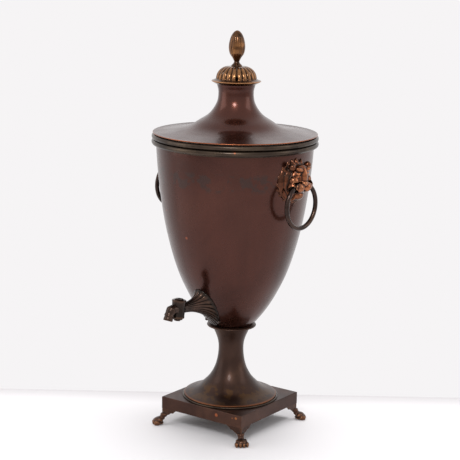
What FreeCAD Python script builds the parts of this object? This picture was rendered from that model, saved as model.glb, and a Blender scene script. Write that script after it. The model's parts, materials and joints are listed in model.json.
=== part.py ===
import FreeCAD
import Part
import math
import os

from FreeCAD import Matrix, Rotation, Vector

# A vase-shaped tea urn of patinated copper and brass on a square plinth with paw feet.
# Millimetres. +Z is up, the origin is on the table under the vase's axis, and the tap points along -Y.
# The lion masks with their ring handles are on +X and -X.

# Plinth and feet
PLINTH_SIDE = 134.0
PLINTH_TOP_Z = 39.5
PLINTH_SKIRT = 16.5
PLINTH_SHEET = 1.5
PLINTH_TURN = 5.5  # the stand sits a few degrees off the tap's line, seen from above
FOOT_WING = 26.0  # how far a foot's bracket reaches along each side of the plinth
FOOT_PLATE = 2.5
FOOT_TAB_DEPTH = 11.0
PAW_REACH = 13.5  # from the plinth's corner to the toe tips, along the diagonal
PAW_WIDTH = 20.0
PAW_HEIGHT = 10.5

# Pedestal, its flange and the collar under the vase
FLANGE_RADIUS = 65.6
FLANGE_THICK = 2.0
FLANGE_INNER_RADIUS = 50.0
PEDESTAL_EDGE_RADIUS = 63.4
PEDESTAL_WAIST_RADIUS = 17.4
PEDESTAL_TOP_RADIUS = 25.5
PEDESTAL_TOP_Z = 137.5
PEDESTAL_WALL = 1.3
COLLAR_RADIUS = 33.6
COLLAR_THICK = 5.0

# Vase
VASE_WALL = 1.3
VASE_BASE_RADIUS = 29.0
VASE_RIM_RADIUS = 105.6
VASE_RIM_Z = 402.5
BEAD_UPPER = 3.4  # tube radius of the upper rim moulding
BEAD_LOWER = 3.6
BEAD_GAP = 0.25

# Lid, vent dome and finial
LID_RADIUS = 110.0
LID_WALL = 1.2
LID_LIFT_GAP = 1.3  # between the upper bead and the lid's edge
NECK_WAIST_RADIUS = 23.5
NECK_TOP_RADIUS = 25.7
NECK_TOP_Z = 469.5
BEZEL_DEPTH = 15.0
BEZEL_CLEARANCE = 0.5
DOME_FLUTES = 22
DOME_BULGE = 16.5  # radius of the dome's meridian arc
DOME_RADIUS = 27.0
DOME_FLANGE_RADIUS = 32.9
DOME_FLUTE_DEPTH = 1.3
DOME_WALL = 2.2
VENT_RADIUS = 1.9
VENT_AZIMUTH = 42.0  # measured from the tap's side towards +X
VENTS = 2
FINIAL_TOP_Z = 540.0
FINIAL_LOBES = 12
FINIAL_RADIUS = 10.8
FINIAL_STUD_RADIUS = 2.5

# Heater: a dry tube in the water, an iron slug in the tube and a cover on top
TUBE_RADIUS = 22.0
TUBE_WALL = 1.2
TUBE_TOP_Z = 392.0
SLUG_RADIUS = 18.5
SLUG_LENGTH = 175.0
SLUG_EYE_RADIUS = 8.5
SLUG_EYE_STOCK = 2.5

# Masks and ring handles
MASK_Z = 353.0
MASK_HALF_WIDTH = 31.5
MASK_HALF_HEIGHT = 32.0
MASK_WALL = 2.2
RING_RADIUS = 29.5  # to the middle of the round bar
RING_STOCK = 3.0  # radius of the bar
RING_PIVOT_X = 115.5
RING_PIVOT_Z = 344.4
RING_PIVOT_RISE = 23.0  # from the ring's centre up to the pivot line through the mouth
RING_CLEARANCE = 0.9

# Tap
TAP_TILT = 7.0  # the tap rises this much towards its outlet
TAP_REACH = 106.6  # from the vase's axis to the barrel's axis
TAP_Z = 182.0
BARREL_HEIGHT = 25.0
BARREL_TOP_RADIUS = 8.2
BARREL_BOTTOM_RADIUS = 6.7
PLUG_TOP_RADIUS = 5.6
PLUG_BOTTOM_RADIUS = 4.3
PLUG_CLEARANCE = 0.06
KEY_SOCKET = 5.4  # square
KEY_SOCKET_DEPTH = 7.0
WATERWAY_RADIUS = 3.6
SPOUT_RADIUS = 5.6
SPOUT_REACH = 27.0
SPOUT_DROP = 12.0
SPOUT_BEND = 8.0
SPOUT_RISE = 2.5
SHANK_START = 95.0
SHANK_FLUTES = 14
TAP_FLANGE_THICK = 2.0

# Fastenings
STUD_RADIUS = 4.0
STUD_HEAD_RADIUS = 13.0
STUD_HEAD_THICK = 2.5
STUD_NUT_ACROSS = 13.0
STUD_NUT_HEIGHT = 6.5
WASHER_RADIUS = 15.0
WASHER_THICK = 2.0
FIT = 0.1  # between fixed pieces that slide into each other
RUNNING_GAP = 0.3  # between a moving piece and what it rests on
STEEP = 0.6  # a profile rising faster than this for its length counts as steep

X_AXIS = Vector(1, 0, 0)
Y_AXIS = Vector(0, 1, 0)
Z_AXIS = Vector(0, 0, 1)
ORIGIN = Vector(0, 0, 0)


def export(name, shape):
    """Writes one sub-part, after checking that it is made of valid closed solids."""
    solids = shape.Solids
    for solid in solids:
        if not solid.isValid() or solid.Volume <= 0:
            raise ValueError(f"{name} has a bad solid")
    whole = solids[0] if len(solids) == 1 else Part.makeCompound(solids)
    whole.exportStep(f"parts/{name}.step")
    print(name, len(solids), round(whole.Volume / 1000, 2), "cm3")


def profile_point(radius, z):
    return Vector(radius, 0, z)


def tangents(points):
    """The direction of a smooth curve through the points, at each of them."""
    curve = Part.BSplineCurve()
    curve.interpolate([profile_point(*p) for p in points])
    return [curve.tangent(curve.parameter(profile_point(*p)))[0] for p in points]


def left_of(direction):
    return Vector(-direction.z, 0, direction.x)


def arc_from(start, direction, end):
    """An arc that leaves start in a direction and passes through end, as three points with directions."""
    chord = end - start
    side = left_of(direction)
    across = side.dot(chord)
    if abs(across) < 1e-6 * chord.Length:
        return [(start, direction), ((start + end) / 2, direction), (end, direction)]
    centre = start + side * (chord.Length ** 2 / (2 * across))
    radius = (start - centre).Length
    middle = centre + ((start + end) / 2 - centre).normalize() * radius
    turn = 1 if across > 0 else -1

    def along(point):
        return left_of(point - centre).normalize() * turn

    return [(start, direction), (middle, along(middle)), (end, along(end))]


def smooth_arcs(points):
    """Arcs that run smoothly into each other through the points, two to each span."""
    arcs = []
    ways = tangents(points)
    spots = [profile_point(*p) for p in points]
    for start, way, end, end_way in zip(spots, ways, spots[1:], ways[1:]):
        chord = end - start
        both = way + end_way
        spread = 2 * (1 - way.dot(end_way))
        if spread < 1e-9:
            reach = chord.dot(chord) / (4 * chord.dot(end_way))
        else:
            lean = chord.dot(both)
            reach = (math.sqrt(lean ** 2 + spread * chord.dot(chord)) - lean) / spread
        joint = (start + end + (way - end_way) * reach) / 2
        first = arc_from(start, way, joint)
        arcs.append(first)
        arcs.append(arc_from(joint, first[-1][1], end))
    return arcs


def moved_arcs(arcs, distance):
    """The arcs moved along their normals, to the left as they are drawn. A steep end stays at its height."""
    moved = [[(point + left_of(way) * distance, way) for point, way in arc] for arc in arcs]
    for arc, source, end in ((moved[0], arcs[0], 0), (moved[-1], arcs[-1], -1)):
        point, way = source[end]
        if way.z > STEEP:
            arc[end] = (point - X_AXIS * (distance / way.z), way)
    return moved


def arc_edges(arcs):
    edges = []
    for (start, _), (middle, _), (end, _) in arcs:
        bend = (middle - start).cross(end - middle).Length
        straight = bend < 1e-7 * (end - start).Length
        edges.append(Part.makeLine(start, end) if straight else Part.Arc(start, middle, end).toShape())
    return edges


def profile_edges(points):
    return arc_edges(smooth_arcs(points))


def ends_of(arcs):
    """The first and last points of a chain of arcs, as radius and height."""
    first, last = arcs[0][0][0], arcs[-1][-1][0]
    return (first.x, first.z), (last.x, last.z)


def radius_at(points, z, inward=0.0):
    """The radius at one height of a profile, or of the profile moved inwards."""
    arcs = smooth_arcs(points)
    arcs = moved_arcs(arcs, inward) if inward else arcs
    level = Part.makeLine(Vector(0, 0, z), Vector(500, 0, z))
    return max(v.X for edge in arc_edges(arcs) for v in edge.section(level).Vertexes)


def line(a, b):
    return Part.makeLine(profile_point(*a), profile_point(*b))


def revolved(edges):
    """Turns a closed outline in the XZ plane round the Z axis, with the seam of its faces at the back."""
    face = Part.Face(Part.Wire(Part.__sortEdges__(edges)))
    solid = face.revolve(ORIGIN, Z_AXIS, 360).Solids[0]
    solid.rotate(ORIGIN, Z_AXIS, 90)
    return solid


def polygon_revolved(points):
    corners = [profile_point(*p) for p in points]
    return Part.Face(Part.makePolygon(corners + [corners[0]])).revolve(ORIGIN, Z_AXIS, 360).Solids[0]


def thin_shell(points, wall):
    """A sheet of revolution whose outer face follows the points, drawn upwards."""
    outer = smooth_arcs(points)
    inner = moved_arcs(outer, wall)
    inner_first, inner_last = ends_of(inner)
    return revolved(arc_edges(outer) + arc_edges(inner) + [line(points[-1], inner_last), line(inner_first, points[0])])


def solid_under(points, low_z=None, inward=0.0):
    """The solid of revolution from the axis out to a profile, or to the profile moved inwards."""
    arcs = moved_arcs(smooth_arcs(points), inward)
    first, last = ends_of(arcs)
    bottom = first if low_z is None else (first[0], low_z)
    edges = arc_edges(arcs) + [line(last, (0, last[1])), line((0, last[1]), (0, bottom[1])), line((0, bottom[1]), bottom)]
    if low_z is not None:
        edges.append(line(bottom, first))
    return revolved(edges)


def cylinder(radius, low, high):
    return Part.makeCylinder(radius, high - low, Vector(0, 0, low))


def tube(outer, inner, low, high):
    return cylinder(outer, low, high).cut(cylinder(inner, low - 1, high + 1))


def round_ring(radius, stock, z):
    """A ring of round bar that lies level."""
    return Part.makeTorus(radius, stock, Vector(0, 0, z))


def hexagon(across, low, high, centre=(0, 0)):
    corner = across / math.sqrt(3)
    corners = [
        Vector(
            centre[0] + corner * math.cos(math.radians(60 * i)),
            centre[1] + corner * math.sin(math.radians(60 * i)),
            low,
        )
        for i in range(7)
    ]
    return Part.Face(Part.makePolygon(corners)).extrude(Vector(0, 0, high - low))


def ellipsoid(centre, half_sizes):
    """An ellipsoid along the axes, with its poles at front and back."""
    ball = Part.makeSphere(1.0)
    ball.rotate(ORIGIN, Y_AXIS, 90)
    scale = Matrix()
    scale.scale(*half_sizes)
    shape = ball.transformGeometry(scale)
    shape.translate(Vector(*centre))
    return shape


def fused(shapes):
    return shapes[0].multiFuse(shapes[1:]) if len(shapes) > 1 else shapes[0]


def lobed_outline(count, depth, phase, place, per_lobe=4):
    """A closed wavy curve. place(angle, swell) gives the point, where swell is 1 on a crest."""
    points = []
    for i in range(count * per_lobe):
        angle = 2 * math.pi * i / (count * per_lobe)
        swell = 1 - depth * (1 - math.cos(count * (angle - phase))) / 2
        points.append(place(angle, swell))
    curve = Part.BSplineCurve()
    curve.interpolate(points, PeriodicFlag=True)
    return Part.Wire(curve.toShape())


def azimuth_angle(azimuth):
    """Turns an azimuth from the tap's side towards +X into an angle from +X."""
    return math.radians(azimuth - 90)


# Driving profiles, as radius and height. Each is drawn upwards.
FLANGE_TOP_Z = PLINTH_TOP_Z + FLANGE_THICK
PEDESTAL_PROFILE = [
    (PEDESTAL_EDGE_RADIUS, FLANGE_TOP_Z + 1.8),
    (46.6, 50.0),
    (37.0, 58.0),
    (28.1, 68.0),
    (21.1, 82.0),
    (PEDESTAL_WAIST_RADIUS, 100.0),
    (18.1, 118.0),
    (PEDESTAL_TOP_RADIUS, PEDESTAL_TOP_Z),
]
COLLAR_TOP_Z = PEDESTAL_TOP_Z + COLLAR_THICK
VASE_PROFILE = [
    (VASE_BASE_RADIUS, COLLAR_TOP_Z),
    (36.3, 150.0),
    (47.6, 165.0),
    (59.6, 185.0),
    (73.6, 215.0),
    (84.8, 250.0),
    (94.0, 290.0),
    (100.7, 335.0),
    (104.6, 375.0),
    (VASE_RIM_RADIUS, VASE_RIM_Z),
]
BEAD_UPPER_Z = VASE_RIM_Z + 0.3 - BEAD_UPPER
BEAD_LOWER_Z = BEAD_UPPER_Z - BEAD_UPPER - BEAD_GAP - BEAD_LOWER
LID_EDGE_Z = VASE_RIM_Z + 0.3 + LID_LIFT_GAP
LID_PROFILE = [
    (LID_RADIUS, LID_EDGE_Z),
    (90.0, LID_EDGE_Z + 2.4),
    (74.0, LID_EDGE_Z + 5.2),
    (60.6, LID_EDGE_Z + 9.4),
    (49.3, 420.5),
    (34.9, 430.5),
    (25.5, 445.0),
    (NECK_WAIST_RADIUS, 459.0),
    (NECK_TOP_RADIUS, NECK_TOP_Z),
]
DOME_CENTRE_RADIUS = DOME_RADIUS - DOME_BULGE
DOME_FOOT_Z = NECK_TOP_Z + 7.0
DOME_TOP_Z = DOME_FOOT_Z + DOME_BULGE
RING_CENTRE_Z = RING_PIVOT_Z - RING_PIVOT_RISE


# Plinth and feet
def turned(shape):
    """Turns a piece of the stand to its own angle under the vase."""
    shape.rotate(ORIGIN, Z_AXIS, PLINTH_TURN)
    return shape


def square_block(side, low, high):
    return Part.makeBox(side, side, high - low, Vector(-side / 2, -side / 2, low))


def plinth():
    """A shallow box of sheet, open underneath, with a clear hole for the stud."""
    low = PLINTH_TOP_Z - PLINTH_SKIRT
    outer = square_block(PLINTH_SIDE, low, PLINTH_TOP_Z)
    outer = outer.makeFillet(0.8, [e for e in outer.Edges if abs(e.BoundBox.ZMin - PLINTH_TOP_Z) < 1e-6])
    hollow = square_block(PLINTH_SIDE - 2 * PLINTH_SHEET, low - 1, PLINTH_TOP_Z - PLINTH_SHEET)
    hole = cylinder(STUD_RADIUS + FIT, low, PLINTH_TOP_Z + 1)
    return turned(outer.cut(hollow).cut(hole))


def wing_outline(corner, thick, low):
    """One bracket of a foot, seen square on: a straight top and three scallops down to the ankle."""
    cusps = [(FOOT_WING, 0.0), (18.5, -5.0), (11.5, -8.0), (6.0, -12.5)]
    edges = [Part.makeLine(Vector(0, 0, low), Vector(FOOT_WING, 0, low))]
    for (x0, z0), (x1, z1) in zip(cusps, cusps[1:]):
        middle = Vector((x0 + x1) / 2 - 0.35, 0, low + (z0 + z1) / 2 + 1.1)
        edges.append(Part.Arc(Vector(x0, 0, low + z0), middle, Vector(x1, 0, low + z1)).toShape())
    end_x, end_z = cusps[-1]
    edges.append(Part.makeLine(Vector(end_x, 0, low + end_z), Vector(0, 0, low + end_z)))
    edges.append(Part.makeLine(Vector(0, 0, low + end_z), Vector(0, 0, low)))
    face = Part.Face(Part.Wire(edges))
    wing = face.extrude(Vector(0, thick, 0))
    wing.translate(Vector(corner[0], corner[1], 0))
    return wing


def foot():
    """The foot at the corner towards -X and -Y: two scalloped wings, soldering tabs and a paw."""
    half = PLINTH_SIDE / 2
    low = PLINTH_TOP_Z - PLINTH_SKIRT
    corner = (-half, -half)
    wing = wing_outline(corner, FOOT_PLATE, low)
    other = wing.mirror(ORIGIN, Vector(1, -1, 0).normalize())
    tab_start = -half + PLINTH_SHEET
    tab = Part.makeBox(FOOT_WING * 0.6, FOOT_PLATE, FOOT_TAB_DEPTH + 1.5, Vector(tab_start, tab_start, low - 1.5))
    other_tab = tab.mirror(ORIGIN, Vector(1, -1, 0).normalize())
    # The paw is built along +X from the corner and then turned to the diagonal.
    toe_x = PAW_REACH
    ankle = Part.makeLoft([
        Part.Wire(Part.makeCircle(5.2, Vector(-3.6, 0, low - 8.5))),
        Part.Wire(Part.makeCircle(3.9, Vector(-1.8, 0, 10.5))),
        Part.Wire(Part.makeCircle(4.6, Vector(0.8, 0, 7.0))),
        Part.Wire(Part.makeCircle(6.2, Vector(2.6, 0, 3.2))),
        Part.Wire(Part.makeCircle(6.4, Vector(2.8, 0, 0.0))),
    ], True, False)
    pad = ellipsoid((toe_x - 8.2, 0, 3.4), (7.6, PAW_WIDTH / 2 - 1.2, 5.8))
    toes = []
    for i in range(4):
        spread = (i - 1.5) / 1.5
        y = spread * (PAW_WIDTH / 2 - 2.9)
        x = toe_x - 4.4 - 1.6 * abs(spread) ** 2
        toes.append(ellipsoid((x, y, 3.2), (4.4, 2.9, 4.3)))
        toes.append(ellipsoid((x - 4.2, y * 0.82, 6.1), (4.6, 2.1, 3.1)))
    paw = fused([ankle, pad] + toes)
    paw = paw.common(Part.makeBox(60, 60, 40, Vector(-30, -30, 0)))
    paw.rotate(ORIGIN, Z_AXIS, 225)
    paw.translate(Vector(corner[0], corner[1], 0))
    block = Part.makeBox(200, 200, 30, Vector(-half + PLINTH_SHEET + 0.0, -half + PLINTH_SHEET, low))
    paw = paw.cut(block)
    whole = fused([wing, other, tab, other_tab, paw])
    skirt = square_block(PLINTH_SIDE + 20, low, PLINTH_TOP_Z).cut(
        square_block(PLINTH_SIDE - 2 * PLINTH_SHEET, low - 1, PLINTH_TOP_Z + 1))
    return whole.cut(skirt).removeSplitter()


# Pedestal and collar
def pedestal():
    """The trumpet of thin sheet, from a short upright rim to its flared top."""
    outer = smooth_arcs(PEDESTAL_PROFILE)
    inner = moved_arcs(outer, PEDESTAL_WALL)
    inner_first, inner_last = ends_of(inner)
    rim_z = FLANGE_TOP_Z
    return revolved(arc_edges(outer) + arc_edges(inner) + [
        line(PEDESTAL_PROFILE[-1], inner_last),
        line(inner_first, (inner_first[0], rim_z)),
        line((inner_first[0], rim_z), (PEDESTAL_EDGE_RADIUS, rim_z)),
        line((PEDESTAL_EDGE_RADIUS, rim_z), PEDESTAL_PROFILE[0]),
    ])


def pedestal_flange():
    """The flat ring with a rounded edge that the pedestal stands on."""
    ring = tube(FLANGE_RADIUS, FLANGE_INNER_RADIUS, PLINTH_TOP_Z, FLANGE_TOP_Z)
    return ring.makeFillet(FLANGE_THICK * 0.45, [e for e in ring.Edges if e.BoundBox.XMax > FLANGE_RADIUS - 1])


def stem_collar():
    """The turned ring between stem and vase, with a spigot down into the stem."""
    low, high = PEDESTAL_TOP_Z, COLLAR_TOP_Z
    inner_top = PEDESTAL_TOP_RADIUS - PEDESTAL_WALL
    edge = COLLAR_RADIUS
    mould = [(PEDESTAL_TOP_RADIUS, low), (edge - 2.6, low + 1.2), (edge, low + 3.2), (edge - 1.4, high)]
    outline = profile_edges(mould) + [
        line((edge - 1.4, high), (STUD_HEAD_RADIUS + FIT, high)),
        line((STUD_HEAD_RADIUS + FIT, high), (STUD_HEAD_RADIUS + FIT, high - STUD_HEAD_THICK)),
        line((STUD_HEAD_RADIUS + FIT, high - STUD_HEAD_THICK), (STUD_RADIUS + FIT, high - STUD_HEAD_THICK)),
        line((STUD_RADIUS + FIT, high - STUD_HEAD_THICK), (STUD_RADIUS + FIT, low - 5)),
        line((STUD_RADIUS + FIT, low - 5), (inner_top - 6, low - 5)),
        line((inner_top - 6, low - 5), (inner_top - 6, low)),
        line((inner_top - 6, low), (PEDESTAL_TOP_RADIUS, low)),
    ]
    return revolved(outline)


def vase_stud():
    """The brass stud soldered under the vase. It runs down the stem and clamps the whole foot."""
    head = cylinder(STUD_HEAD_RADIUS, COLLAR_TOP_Z - STUD_HEAD_THICK, COLLAR_TOP_Z)
    low = PLINTH_TOP_Z - PLINTH_SHEET - WASHER_THICK - STUD_NUT_HEIGHT - 2.0
    return head.fuse(cylinder(STUD_RADIUS, low, COLLAR_TOP_Z)).removeSplitter()


def stud_washer():
    high = PLINTH_TOP_Z - PLINTH_SHEET
    return tube(WASHER_RADIUS, STUD_RADIUS + FIT, high - WASHER_THICK, high)


def stud_nut():
    high = PLINTH_TOP_Z - PLINTH_SHEET - WASHER_THICK
    nut = hexagon(STUD_NUT_ACROSS, high - STUD_NUT_HEIGHT, high)
    return nut.cut(cylinder(STUD_RADIUS + FIT, 0, high + 1))


# Vase
def vase_outside(grow=0.0):
    """The solid that the vase's outer face bounds, or one a little larger, for cutting its fittings."""
    return solid_under(VASE_PROFILE, inward=-grow)


def vase_body():
    floor = cylinder(VASE_BASE_RADIUS - VASE_WALL / 2, COLLAR_TOP_Z, COLLAR_TOP_Z + VASE_WALL)
    shell = thin_shell(VASE_PROFILE, VASE_WALL).fuse(floor).removeSplitter()
    cuts = [tap_placed(tap_bore())]
    for x in (1, -1):
        for z in MASK_STUD_Z:
            cuts.append(Part.makeCylinder(MASK_STUD_RADIUS + FIT, 60, Vector(x * 70, 0, z), Vector(x, 0, 0)))
    return shell.cut(Part.makeCompound(cuts))


def rim_bead(stock, z):
    """A half-round moulding soldered round the vase under its mouth."""
    wall_radius = radius_at(VASE_PROFILE, min(z, VASE_RIM_Z - 0.1))
    centre = wall_radius + stock * 0.72
    bar = round_ring(centre, stock, z)
    web = tube(centre, wall_radius - 1, z - stock * 0.8, z + stock * 0.8)
    return bar.fuse(web).cut(vase_outside()).cut(cylinder(wall_radius - 0.5, z - 9, z + 9)).removeSplitter()


# Heater
def heater_socket():
    """The ring soldered to the vase's floor that the heater tube stands in."""
    low = COLLAR_TOP_Z + VASE_WALL
    return tube(TUBE_RADIUS + 2.4, TUBE_RADIUS + FIT, low, low + 10.0)


def heater_tube():
    low = COLLAR_TOP_Z + VASE_WALL
    body = cylinder(TUBE_RADIUS, low, TUBE_TOP_Z).cut(
        cylinder(TUBE_RADIUS - TUBE_WALL, low + 2.0, TUBE_TOP_Z + 1))
    lip = tube(TUBE_RADIUS + 1.6, TUBE_RADIUS - TUBE_WALL, TUBE_TOP_Z - 2.0, TUBE_TOP_Z)
    return body.fuse(lip).removeSplitter()


def heater_cover():
    """A small cap over the tube, with a turned knob."""
    low = TUBE_TOP_Z + RUNNING_GAP
    plug = TUBE_RADIUS - TUBE_WALL - BEZEL_CLEARANCE
    return polygon_revolved([
        (0, low), (plug - 1.2, low), (plug - 1.2, low - 5), (plug, low - 5), (plug, low), (TUBE_RADIUS + 1.6, low),
        (TUBE_RADIUS + 1.6, low + 1.2), (9, low + 3.2), (3, low + 3.8), (2.6, low + 7), (5.2, low + 9.5),
        (5.2, low + 12.5), (3.2, low + 14.5), (0, low + 14.5)])


def iron_slug():
    """The cast-iron heater, heated in the fire and dropped into the tube by its eye."""
    low = COLLAR_TOP_Z + VASE_WALL + 2.0 + RUNNING_GAP
    bar = cylinder(SLUG_RADIUS, low, low + SLUG_LENGTH)
    bar = bar.makeChamfer(2.0, bar.Edges[0:1] + bar.Edges[2:3])
    hole = cylinder(3.0 + FIT, low + SLUG_LENGTH - 14, low + SLUG_LENGTH + 1)
    return bar.cut(hole)


def slug_eye():
    low = COLLAR_TOP_Z + VASE_WALL + 2.0 + RUNNING_GAP
    top = low + SLUG_LENGTH
    eye = Part.makeTorus(SLUG_EYE_RADIUS, SLUG_EYE_STOCK, Vector(0, 0, top + SLUG_EYE_RADIUS + 2), Y_AXIS)
    return eye.fuse(cylinder(3.0, top - 13, top + 2.6)).removeSplitter()


# Lid
def lid_cover():
    """The spun lid: a shallow brim that sweeps up into a tall open neck."""
    return thin_shell(LID_PROFILE, LID_WALL)


def lid_bezel():
    """The ring under the lid that centres it in the mouth, with a shoulder that rests on the rim."""
    outer = radius_at(VASE_PROFILE, VASE_RIM_Z - BEZEL_DEPTH, inward=VASE_WALL) - BEZEL_CLEARANCE
    high = LID_EDGE_Z + 0.6
    ring = tube(outer, outer - 1.2, VASE_RIM_Z - BEZEL_DEPTH, high)
    shoulder = tube(VASE_RIM_RADIUS + 0.4, outer - 1.2, VASE_RIM_Z + RUNNING_GAP, high)
    under_lid = solid_under(LID_PROFILE, low_z=VASE_RIM_Z - 30, inward=LID_WALL + RUNNING_GAP)
    return ring.fuse(shoulder).common(under_lid).removeSplitter()


def dome_section(angle, inset=0.0):
    """One wavy level outline of the dome, at an angle up its bulging meridian."""
    radius = DOME_CENTRE_RADIUS + (DOME_BULGE - inset) * math.cos(angle)
    z = DOME_FOOT_Z + (DOME_BULGE - inset) * math.sin(angle)
    depth = DOME_FLUTE_DEPTH / DOME_RADIUS * min(1.0, 1.6 * math.cos(angle) + 0.25)
    crest = azimuth_angle(VENT_AZIMUTH) + math.pi / DOME_FLUTES

    def place(turn, swell):
        return Vector(radius * swell * math.cos(turn), radius * swell * math.sin(turn), z)

    return lobed_outline(DOME_FLUTES, depth, crest, place)


def vent_dome():
    """The fluted cap on the neck: a sharp-edged flange, a gadrooned dome with steam holes, and a spigot."""
    bulge = Part.makeLoft([dome_section(math.radians(a)) for a in (0, 28, 55, 82)], True, False)
    edge_z = NECK_TOP_Z + 4.5
    under = [(NECK_TOP_RADIUS, NECK_TOP_Z), (28.3, NECK_TOP_Z + 2.0), (DOME_FLANGE_RADIUS, edge_z)]
    over = [(DOME_FLANGE_RADIUS, edge_z + 0.7), (29.2, edge_z + 1.6), (DOME_RADIUS - 0.4, DOME_FOOT_Z + 0.2)]
    flange = revolved(profile_edges(under) + profile_edges(over) + [
        line((0, NECK_TOP_Z), (NECK_TOP_RADIUS, NECK_TOP_Z)),
        line((DOME_FLANGE_RADIUS, edge_z), (DOME_FLANGE_RADIUS, edge_z + 0.7)),
        line((DOME_RADIUS - 0.4, DOME_FOOT_Z + 0.2), (0, DOME_FOOT_Z + 0.2)),
        line((0, DOME_FOOT_Z + 0.2), (0, NECK_TOP_Z)),
    ])
    spigot_radius = NECK_WAIST_RADIUS - LID_WALL - RUNNING_GAP
    spigot = cylinder(spigot_radius, NECK_TOP_Z - 8, NECK_TOP_Z + 1)
    inside = DOME_BULGE - DOME_WALL - DOME_FLUTE_DEPTH
    hollow = fused([
        Part.makeTorus(DOME_CENTRE_RADIUS, inside, Vector(0, 0, DOME_FOOT_Z)),
        cylinder(DOME_CENTRE_RADIUS, DOME_FOOT_Z, DOME_FOOT_Z + inside),
    ]).common(cylinder(60, DOME_FOOT_Z, DOME_TOP_Z))
    well = cylinder(spigot_radius - 1.6, NECK_TOP_Z - 9, DOME_FOOT_Z + 0.1)
    dome = fused([bulge, flange, spigot]).cut(hollow).cut(well)
    for i in range(VENTS):
        angle = azimuth_angle(VENT_AZIMUTH) + 2 * math.pi * i / VENTS
        direction = Vector(math.cos(angle), math.sin(angle), 0)
        start = direction * (DOME_RADIUS - 9) + Vector(0, 0, DOME_FOOT_Z + 2.6)
        dome = dome.cut(Part.makeCylinder(VENT_RADIUS, 14, start, direction))
    stud_hole = cylinder(FINIAL_STUD_RADIUS + FIT, DOME_FOOT_Z, DOME_TOP_Z + 5)
    return dome.cut(stud_hole).removeSplitter()


def finial():
    """The bud on its turned base, in one casting with the stud that goes down through the dome."""
    base_z = DOME_TOP_Z + 0.1
    bud_z = base_z + 7.5
    rise = FINIAL_TOP_Z - bud_z
    waist = FINIAL_RADIUS * 0.34
    foot = [(7.2, base_z), (6.9, base_z + 2.4), (5.0, base_z + 4.9), (waist, bud_z)]
    shares = [(0.0, 0.34), (0.2, 0.8), (0.44, 1.0), (0.72, 0.86), (0.93, 0.45), (1.0, 0.1)]
    bud = [(FINIAL_RADIUS * share, bud_z + rise * up) for up, share in shares]
    turned = revolved(profile_edges(foot) + profile_edges(bud) + [
        line((FINIAL_RADIUS * 0.1, FINIAL_TOP_Z), (0, FINIAL_TOP_Z)),
        line((0, FINIAL_TOP_Z), (0, base_z)),
        line((0, base_z), (7.2, base_z)),
    ])
    seat = DOME_FOOT_Z + DOME_BULGE - DOME_WALL - DOME_FLUTE_DEPTH
    stud = cylinder(FINIAL_STUD_RADIUS, seat - 6.0, base_z + 1)
    return turned.fuse(stud).removeSplitter()


def finial_nut():
    high = DOME_FOOT_Z + DOME_BULGE - DOME_WALL - DOME_FLUTE_DEPTH
    return hexagon(9.0, high - 4.0, high).cut(cylinder(FINIAL_STUD_RADIUS + FIT, high - 5, high + 1))


# Masks and ring handles
MASK_STUD_RADIUS = 1.6
MASK_STUD_Z = (MASK_Z + 21.0, MASK_Z - 23.0)


def mane_outline():
    """The scalloped edge of the mask, seen square on."""

    def place(turn, swell):
        wide = MASK_HALF_WIDTH * (1.0 - 0.10 * max(0.0, math.sin(turn)))
        return Vector(60, wide * swell * math.cos(turn), MASK_Z + MASK_HALF_HEIGHT * swell * math.sin(turn))

    return lobed_outline(15, 0.09, math.pi / 2, place)


def mouth_hollow():
    """The space that the ring's top sweeps inside the muzzle, turned round the pivot line."""
    points = []
    for y in (-24.0, -21.0, -18.6, -16.0, -12.0, -6.0, 0.0, 6.0, 12.0, 16.0, 18.6, 21.0, 24.0):
        rise = math.sqrt(RING_RADIUS ** 2 - y ** 2) - RING_PIVOT_RISE
        slope = abs(y) / math.sqrt(RING_RADIUS ** 2 - y ** 2)
        points.append(Vector(y, 0, abs(rise) + RING_STOCK * math.hypot(1, slope) + RING_CLEARANCE))
    curve = Part.BSplineCurve()
    curve.interpolate(points)
    ends = [Vector(points[0].x, 0, 0), Vector(points[-1].x, 0, 0)]
    face = Part.Face(Part.Wire(Part.__sortEdges__([
        curve.toShape(),
        Part.makeLine(points[-1], ends[1]),
        Part.makeLine(ends[1], ends[0]),
        Part.makeLine(ends[0], points[0]),
    ])))
    hollow = face.revolve(ORIGIN, X_AXIS, 360).Solids[0]
    hollow.rotate(ORIGIN, Z_AXIS, 90)
    hollow.translate(Vector(RING_PIVOT_X, 0, RING_PIVOT_Z))
    return hollow


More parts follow.
